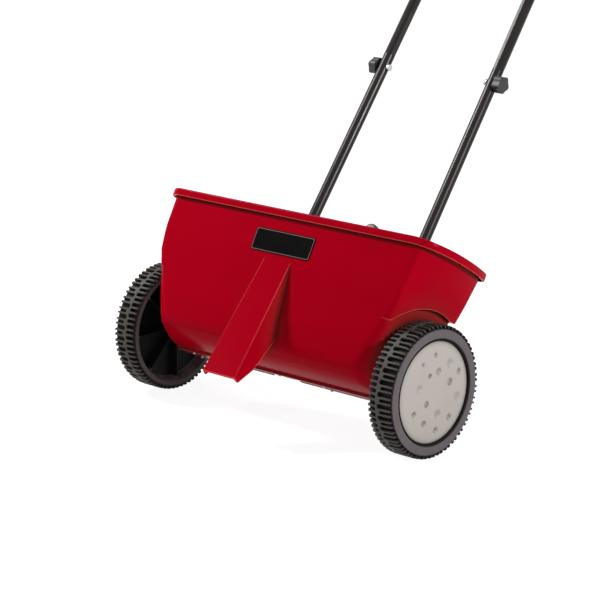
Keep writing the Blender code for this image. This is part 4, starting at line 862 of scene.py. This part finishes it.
def solid(name, points, faces):
    """A closed shape to build with, in the hopper's upright frame."""
    mesh = bpy.data.meshes.new(name)
    mesh.from_pydata([tuple(point) for point in points], [], faces)
    shape = bmesh.new()
    shape.from_mesh(mesh)
    bmesh.ops.recalc_face_normals(shape, faces=shape.faces)
    shape.to_mesh(mesh)
    shape.free()
    return link_object(name, mesh)


def loft(name, rings):
    """A closed body through level rings of equal point counts, each a (height, outline) pair."""
    points = [(x, y, height) for height, outline in rings for x, y in outline]
    count = len(rings[0][1])
    return solid(name, points, plate_faces(count, len(rings)))


def rod(name, start, end, radius, sides=SIDES):
    """A round bar between two points."""
    start, end = Vector(start), Vector(end)
    turn = (end - start).to_track_quat("Z", "Y")
    points = []
    for place in (start, end):
        for i in range(sides):
            angle = math.tau * i / sides
            points.append(place + turn @ Vector((radius * math.cos(angle), radius * math.sin(angle), 0)))
    return solid(name, points, plate_faces(sides, 2))


def block(name, low, high):
    """A box between its lowest and highest corners."""
    outline = [(low[0], low[1]), (high[0], low[1]), (high[0], high[1]), (low[0], high[1])]
    return loft(name, [(low[2], outline), (high[2], outline)])


def combine(item, tool, operation):
    """Joins or cuts an item with a tool, which is used up."""
    change = item.modifiers.new(tool.name, "BOOLEAN")
    change.operation = operation
    change.object = tool
    change.solver = "EXACT"
    graph = bpy.context.evaluated_depsgraph_get()
    made = bpy.data.meshes.new_from_object(item.evaluated_get(graph))
    item.modifiers.clear()
    item.data = made
    bpy.data.objects.remove(tool)
    return item


def join(item, tool):
    return combine(item, tool, "UNION")


def cut(item, tool):
    return combine(item, tool, "DIFFERENCE")


def soft_heights(places, low, high):
    """Heights for rings that follow the rounded corners of a wall's profile."""
    heights = {low, high}
    for place in places:
        for share in (-1, -0.5, 0, 0.5, 1):
            height = place + share * CORNER_SOFTNESS
            if low < height < high:
                heights.add(height)
    return sorted(heights)


def core_rings(heights, inset, front, rear):
    rings = []
    for z in heights:
        radii = [radius - inset for radius in core_corners(z)]
        rings.append((z, level_outline(core_half(z) - inset, front(z), rear(z), radii)))
    return rings


def flare_half(height):
    """Half the length over the flares, which draw in a little towards the wheels."""
    return softened(height, FLARE_HALF_KNOTS)


def flare_rings(heights, inset, front, rear, step=0.0):
    """Level cuts of the flares, drawn back a step where their faces would lie in the core's."""
    rings = []
    for z in heights:
        ahead = between(z, FLARE_CORNER_KNOTS)
        radii = (ahead - inset * 0.9, FLARE_REAR_CORNER - inset)
        outline = level_outline(flare_half(z) - inset, front(z) - step, rear(z) - step, radii, swell(z))
        rings.append((z, outline))
    return rings


def rim_outline(outset):
    radii = [RIM_CORNER - RIM_OVERHANG + outset] * 2
    return level_outline(FLARE_HALF + outset, FRONT_REACH + outset, REAR_REACH + outset, radii, END_SWELL)


def arch_outline(radius, lift):
    """The space over a wheel seen from its side: a round arch, a level edge and a rounded rear corner."""
    foot = FLARE_FOOT_REAR + lift
    first, last = math.pi * 1.05, math.asin(foot / radius)
    angles = [first + (last - first) * step / ARCH_STEPS for step in range(ARCH_STEPS + 1)]
    arch = [(radius * math.cos(angle), radius * math.sin(angle)) for angle in angles]
    back = between(FLARE_FOOT_REAR, REAR_KNOTS) - lift + 0.0003
    edge = (back - 0.03, foot)
    wall = (back + math.sin(REAR_LEAN) * 0.04, foot + math.cos(REAR_LEAN) * 0.04)
    bend = rounded([edge, (back, foot), wall], [0, FLARE_FOOT_CORNER - lift, 0], closed=False)[1:-1]
    return arch + bend + [(0.09, bend[-1][1]), (0.09, -0.02)]


def arch_cut(item, radius, lift):
    """Clears both ends over the wheels."""
    outline = arch_outline(radius, lift)
    for side in (-1, 1):
        ends = (side * (core_half(0.0) - WALL * 4), side * (FLARE_HALF + WALL * 3))
        points = [(x, y, z) for x in ends for y, z in outline]
        cut(item, solid("arch", points, plate_faces(len(outline), 2)))
    return item


RIM_SOFT = 0.0012


def make_rim():
    """The rolled rim: a flange with a rounded outer edge that turns down over the wall."""
    top, foot = RIM_HEIGHT, RIM_HEIGHT - RIM_LIP
    outside = [(foot, RIM_OVERHANG - RIM_SOFT * 0.3), (foot + RIM_SOFT, RIM_OVERHANG)]
    outside += [(top - 2 * RIM_SOFT, RIM_OVERHANG), (top - RIM_SOFT * 0.9, RIM_OVERHANG - RIM_SOFT * 0.25)]
    outside += [(top - RIM_SOFT * 0.25, RIM_OVERHANG - RIM_SOFT * 0.9), (top, RIM_OVERHANG - 2 * RIM_SOFT)]
    rim = loft("rim", [(height, rim_outline(outset)) for height, outset in outside])
    inside = rim_outline(RIM_OVERHANG - WALL)
    under = loft("rim_under", [(foot - WALL, inside), (top - WALL, inside)])
    return cut(rim, under)


FOOT_TOP = 0.120
FOOT_TIP = (-0.139, -0.072)
FOOT_SOLE = (-0.130, -0.076)
FOOT_HEEL = (-0.110, -0.050)
FOOT_BACK = (-0.087, 0.004)
FOOT_HALF = 0.027
FOOT_WIDENING = 0.006
FOOT_SIDE_FLARE = 0.005
FOOT_EDGE = 0.0014
FOOT_KNEE = 0.037
FOOT_HOLLOW_TOP = 0.090
SOLE_CUT_REACH = 0.06
SOLE_CUT_FOOT = -0.14


def foot_ring(height, inset):
    """A level cut through the front foot: a face, two sides that flare backwards and an open back."""
    share = (FOOT_TOP - height) / (FOOT_TOP - FOOT_TIP[1])
    face = -FRONT_REACH + (FRONT_REACH + FOOT_TIP[0]) * share + inset
    if height > FOOT_BACK[1]:
        back = -front_reach(height) + WALL / 2
    else:
        back = between(height, ((FOOT_HEEL[1], FOOT_HEEL[0]), (FOOT_BACK[1], FOOT_BACK[0])))
    if inset:
        back += WALL * 4
    half = FOOT_HALF + FOOT_WIDENING * share - inset
    half_back = half + FOOT_SIDE_FLARE * (back - face) / (FOOT_HEEL[0] - FOOT_TIP[0])
    corners = [(-half, face), (half, face), (half_back, back), (-half_back, back)]
    edge = min(FOOT_EDGE, 0.3 * (back - face))
    return height, rounded(corners, [edge, edge, edge * 0.2, edge * 0.2], 5)


def make_foot():
    """The hollow front foot, cut off level with its sole."""
    low = FOOT_SOLE[1] - 0.002
    middle = (FOOT_HEEL[1], FOOT_BACK[1], FOOT_BACK[1] + 0.0003, FOOT_KNEE)
    foot = loft("foot", [foot_ring(z, 0.0) for z in (low, *middle, FOOT_TOP + 0.006)])
    hollow = loft("foot_hollow", [foot_ring(z, WALL) for z in (low - 0.002, *middle, FOOT_HOLLOW_TOP)])
    cut(foot, hollow)
    tip, sole, heel = (Vector(place) for place in (FOOT_TIP, FOOT_SOLE, FOOT_HEEL))
    toe = tip + (tip - sole).normalized() * SOLE_CUT_REACH
    rise = heel + (heel - sole).normalized() * SOLE_CUT_REACH
    loop = [tuple(toe), tuple(sole), tuple(rise), (rise.x, SOLE_CUT_FOOT), (toe.x, SOLE_CUT_FOOT)]
    points = [(x, y, z) for x in (-SOLE_CUT_REACH, SOLE_CUT_REACH) for y, z in loop]
    return cut(foot, solid("sole_cut", points, plate_faces(len(loop), 2)))


TUBE_RADIUS = 0.009
TUBE_LEAN = math.radians(7.3)
TUBE_TOE_IN = math.radians(0.75)
TUBE_PLACE = 0.1159
SOCKET_BORE = TUBE_RADIUS + 0.0003
SOCKET_DEPTH = 0.125


def leg_point(side, distance):
    """A point on the centre line of a handle tube, distance measured up from the rim."""
    direction = Vector((-side * math.sin(TUBE_TOE_IN), math.sin(TUBE_LEAN), math.cos(TUBE_LEAN)))
    return Vector((side * TUBE_PLACE, REAR_REACH, RIM_HEIGHT)) + direction.normalized() * distance


LEVER_PIVOT_HEIGHT = 0.060
LEVER_BOSS_FACE = 0.0092
LEVER_BOSS_RADIUS = 0.008
LEVER_HOLE_RADIUS = 0.0033
LEVER_HOLE_DEPTH = 0.008
LEVER_HOLE_END = 0.012
AXLE_BOSS_RADIUS = 0.016
AXLE_BOSS_END = 0.232
BUSH_HOLE_RADIUS = 0.0086
BUSH_HOLE_END = 0.234
SCREW_PLACE = -0.095
SCREW_HOLE_RADIUS = 0.0023
OUTLET_COUNT = 16
OUTLET_PITCH = 0.026
OUTLET_HALF = 0.006
OUTLET_FRONT = -0.003
OUTLET_REAR = 0.005
CUT_MARGIN = 0.002


def lever_frame():
    """Pivot of the dosing lever on the back wall: local Y up the wall, local Z out of it."""
    pivot = Vector((0.0, between(LEVER_PIVOT_HEIGHT, REAR_KNOTS), LEVER_PIVOT_HEIGHT))
    up = Vector((0.0, math.sin(REAR_LEAN), math.cos(REAR_LEAN)))
    out = Vector((0.0, math.cos(REAR_LEAN), -math.sin(REAR_LEAN)))
    turn = Matrix((up.cross(out), up, out)).transposed().to_4x4()
    return Matrix.Translation(pivot) @ turn


def join_walls():
    """The outer body: core, flares over the wheels, rim and foot."""
    heights = soft_heights(WALL_HEIGHTS, FLOOR_FACE, RIM_HEIGHT)
    shell = loft("hopper_moulding", core_rings(heights, 0.0, front_reach, rear_reach))
    heights = soft_heights(WALL_HEIGHTS, FLARE_FOOT_FRONT, RIM_HEIGHT)
    flare = loft("flare", flare_rings(heights, 0.0, front_reach, rear_reach))
    join(shell, arch_cut(flare, ARCH_RADIUS, 0.0))
    join(shell, make_rim())
    return join(shell, make_foot())


def add_bosses(shell):
    """Bosses for the axle at both ends and for the lever on the back wall."""
    inboard = core_half(0.0) - WALL * 3
    for side in (-1, 1):
        boss = rod("axle_boss", (side * inboard, 0, 0), (side * AXLE_BOSS_END, 0, 0), AXLE_BOSS_RADIUS)
        join(shell, boss)
    turn = lever_frame()
    ends = turn @ Vector((0, 0, -WALL / 2)), turn @ Vector((0, 0, LEVER_BOSS_FACE))
    join(shell, rod("lever_boss", *ends, LEVER_BOSS_RADIUS))


def hollow_out(shell):
    """Takes the inside out of the core and of the flares."""
    above = RIM_HEIGHT + RIM_LIP
    places = [height + WALL for height in WALL_HEIGHTS]
    heights = soft_heights(places, FLOOR_FACE + WALL, above)
    cut(shell, loft("core_cavity", core_rings(heights, WALL, inner_front, inner_rear)))
    heights = soft_heights(places, FLARE_FOOT_FRONT + WALL, above)
    inner = loft("flare_cavity", flare_rings(heights, WALL, inner_front, inner_rear, FLARE_STEP))
    cut(shell, arch_cut(inner, ARCH_RADIUS + WALL, WALL))


def add_socket(shell, side):
    """The socket of a handle tube inside the back wall, with its bore and the hole for its screw."""
    floor, foot, top = (leg_point(side, d) for d in (-SOCKET_DEPTH - 0.004, -SOCKET_DEPTH, RIM_LIP))
    join(shell, rod("socket", floor, leg_point(side, 0.0), SOCKET_BORE + WALL))
    cut(shell, rod("socket_bore", foot, top, SOCKET_BORE))
    rear = Vector((0.0, math.cos(TUBE_LEAN), -math.sin(TUBE_LEAN)))
    seat = leg_point(side, SCREW_PLACE)
    hole = rod("screw_hole", seat, seat + rear * (SOCKET_BORE + WALL * 2), SCREW_HOLE_RADIUS, 24)
    cut(shell, hole)


def pierce(shell):
    """Holes for the lever's bolt and the outlets in the floor."""
    turn = lever_frame()
    foot = turn @ Vector((0, 0, LEVER_BOSS_FACE - LEVER_HOLE_DEPTH))
    hole = rod("lever_hole", foot, turn @ Vector((0, 0, LEVER_HOLE_END)), LEVER_HOLE_RADIUS)
    cut(shell, hole)
    for number in range(OUTLET_COUNT):
        x = OUTLET_PITCH * (number - (OUTLET_COUNT - 1) / 2)
        low = (x - OUTLET_HALF, OUTLET_FRONT, FLOOR_FACE - CUT_MARGIN)
        high = (x + OUTLET_HALF, OUTLET_REAR, FLOOR_FACE + WALL + CUT_MARGIN)
        cut(shell, block("outlet", low, high))


def make_hopper():
    """The hopper moulding: core, flares over the wheels, rim, foot, bosses, sockets and outlets."""
    shell = join_walls()
    add_bosses(shell)
    hollow_out(shell)
    inboard = core_half(0.0) - WALL * 5
    for side in (-1, 1):
        add_socket(shell, side)
        bush = rod("bush_hole", (side * inboard, 0, 0), (side * BUSH_HOLE_END, 0, 0), BUSH_HOLE_RADIUS)
        cut(shell, bush)
    pierce(shell)
    finish_moulding(shell, 0.0007)
    shell.data.transform(HOPPER_SPOT)
    shell.data.materials.clear()
    shell.data.materials.append(RED)
    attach(shell, "hopper")
    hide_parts("hopper_shell")


def finish_moulding(item, edge):
    """Cleans a combined mesh, rounds its sharp edges a little and shades it smooth."""
    shape = bmesh.new()
    shape.from_mesh(item.data)
    bmesh.ops.remove_doubles(shape, verts=shape.verts, dist=0.00002)
    bmesh.ops.dissolve_degenerate(shape, edges=shape.edges, dist=0.00002)
    bmesh.ops.dissolve_limit(shape, angle_limit=math.radians(0.6), verts=shape.verts, edges=shape.edges)
    shape.to_mesh(item.data)
    shape.free()
    item.data.shade_smooth()
    soft = item.modifiers.new("soft_edges", "BEVEL")
    soft.width = edge
    soft.segments = 2
    soft.limit_method = "ANGLE"
    soft.angle_limit = math.radians(38)
    soft.harden_normals = True
    soft.use_clamp_overlap = True


# Ticks and numbers of the dosing scale, printed above the sweep of the lever

SCALE_STEP = 1.5
TICK_COUNT = 9
TICK_HALF = 0.25 * MM
TICK_SETBACK = 9.5 * MM
TICK_LONG = 6.0 * MM
TICK_SHORT = 4.0 * MM
NUMBER_GAP = 1.5 * MM
NUMBER_SIZE = 6.0 * MM
SCALE_HALF_THICKNESS = 0.6 * MM
INK_RISE = 0.06 * MM


def make_scale_marks():
    """Nine ticks on an arc round the lever's pivot and a number over every second one."""
    plane = HOPPER_SPOT @ lever_frame()
    middle = plane.inverted() @ node_middle("dosing_scale")
    face = middle.z + SCALE_HALF_THICKNESS
    foot = middle.y - TICK_SETBACK
    points, faces = [], []
    for number in range(TICK_COUNT):
        angle = math.radians(SCALE_STEP * (number - TICK_COUNT // 2))
        along = Vector((math.sin(angle), math.cos(angle), 0.0))
        across = Vector((math.cos(angle), -math.sin(angle), 0.0))
        numbered = number % 2 == 0
        top = foot + (TICK_LONG if numbered else TICK_SHORT)
        first = len(points)
        for height in (face, face + INK_RISE):
            for reach, turn in ((foot, -1), (foot, 1), (top, 1), (top, -1)):
                spot = along * reach + across * (turn * TICK_HALF) + Vector((0, 0, height))
                points.append(plane @ spot)
        faces += [tuple(first + corner for corner in side) for side in plate_faces(4, 2)]
        if numbered:
            shift = Matrix.Translation(along * (top + NUMBER_GAP) + Vector((0, 0, face)))
            make_number(str(number), plane @ shift @ Matrix.Rotation(-angle, 4, "Z"))
    add_piece("scale_ticks", points, faces, INK, "hopper", (), 30.0)


def make_number(letters, spot):
    """A thin raised number whose foot stands on a spot."""
    curve = bpy.data.curves.new("number", "FONT")
    curve.body = letters
    curve.size = NUMBER_SIZE
    curve.align_x = "CENTER"
    curve.extrude = INK_RISE
    writing = link_object("number", curve)
    graph = bpy.context.evaluated_depsgraph_get()
    mesh = bpy.data.meshes.new_from_object(writing.evaluated_get(graph))
    bpy.data.objects.remove(writing)
    mesh.transform(spot)
    mesh.materials.clear()
    mesh.materials.append(INK)
    piece = link_object(f"scale_number_{letters}", mesh)
    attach(piece, "hopper")


# Stage, lamps and camera

CAMERA_PLACE = AXLE + Vector((2.67006, -2.82863, 1.09506))
CAMERA_PITCH = math.radians(14.51)
CAMERA_YAW = math.radians(43.14)


def make_camera():
    data = bpy.data.cameras.new("photo_camera")
    data.lens = 159.05
    data.sensor_width = 36.0
    data.clip_end = 50.0
    camera = link_object("photo_camera", data)
    camera.location = CAMERA_PLACE
    camera.rotation_euler = (math.pi / 2 - CAMERA_PITCH, 0.0, CAMERA_YAW)
    scene.camera = camera


def seen_directly(tree):
    """1 where the camera, a mirror or glass looks, 0 where the ray only carries light."""
    path = tree.nodes.new("ShaderNodeLightPath")
    total = math_node(tree, "ADD", path.outputs["Is Camera Ray"], path.outputs["Is Glossy Ray"])
    return math_node(tree, "ADD", total, path.outputs["Is Transmission Ray"], clamp=True)


def show_directly(tree, carried, seen, end_kind):
    """Shows one shader where it is seen directly, and carries light with the other."""
    mix = tree.nodes.new("ShaderNodeMixShader")
    tree.links.new(seen_directly(tree), mix.inputs[0])
    tree.links.new(carried, mix.inputs[1])
    tree.links.new(seen, mix.inputs[2])
    end = tree.nodes.new(end_kind)
    tree.links.new(mix.outputs[0], end.inputs[0])


def make_world():
    """A soft pale sky that shows as plain white."""
    world = bpy.data.worlds.new("studio")
    world.use_nodes = True
    scene.world = world
    tree = world.node_tree
    tree.nodes.clear()
    soft = add_node(tree, "ShaderNodeBackground", Color=(1.0, 0.99, 0.98, 1.0), Strength=0.17)
    white = add_node(tree, "ShaderNodeBackground", Color=(1.0, 1.0, 1.0, 1.0), Strength=1.0)
    show_directly(tree, soft.outputs[0], white.outputs[0], "ShaderNodeOutputWorld")


FLOOR_REACH = 12.0


def make_floor():
    """A wide pale floor that shows white and keeps a faint shadow."""
    mesh = bpy.data.meshes.new("floor")
    corners = [(x * FLOOR_REACH, y * FLOOR_REACH, 0.0) for x, y in ((-1, -1), (1, -1), (1, 1), (-1, 1))]
    mesh.from_pydata(corners, [], [(0, 1, 2, 3)])
    finish = bpy.data.materials.new("floor_finish")
    finish.use_nodes = True
    tree = finish.node_tree
    tree.nodes.clear()
    pale = add_node(tree, "ShaderNodeBsdfDiffuse", Color=(0.80, 0.80, 0.80, 1.0))
    faint = add_node(tree, "ShaderNodeBsdfDiffuse", Color=(0.30, 0.30, 0.30, 1.0))
    glow = add_node(tree, "ShaderNodeEmission", Color=(1.0, 1.0, 1.0, 1.0), Strength=0.91)
    added = tree.nodes.new("ShaderNodeAddShader")
    tree.links.new(faint.outputs[0], added.inputs[0])
    tree.links.new(glow.outputs[0], added.inputs[1])
    show_directly(tree, pale.outputs[0], added.outputs[0], "ShaderNodeOutputMaterial")
    mesh.materials.append(finish)
    link_object("floor", mesh)


def add_lamp(name, place, target, size, power, colour=(1.0, 1.0, 1.0)):
    data = bpy.data.lights.new(name, "AREA")
    data.shape = "DISK"
    data.size = size
    data.energy = power
    data.color = colour
    lamp = link_object(name, data)
    lamp.location = place
    lamp.rotation_euler = (Vector(target) - Vector(place)).to_track_quat("-Z", "Y").to_euler()


def make_lamps():
    target = AXLE + Vector((0.0, 0.1, 0.15))
    add_lamp("key_lamp", (-2.6, -1.05, 2.7), target, 0.8, 146.0, (1.0, 0.99, 0.97))
    add_lamp("front_lamp", (1.24, -3.1, 2.3), target, 0.06, 9.0)
    add_lamp("side_lamp", (3.16, 0.25, 1.41), target, 0.3, 68.0, (1.0, 0.99, 0.98))


make_camera()
make_world()
make_floor()
make_lamps()
finish_cad_nodes()
for word, side, body in (("right", 1, "drive_axle"), ("left", -1, "wheel_left")):
    make_wheel(word, side, body)
    make_wheel_ribs(word, side, body)
    make_hub_cap(word, side, body)
make_label()
make_scale_marks()
make_hopper()
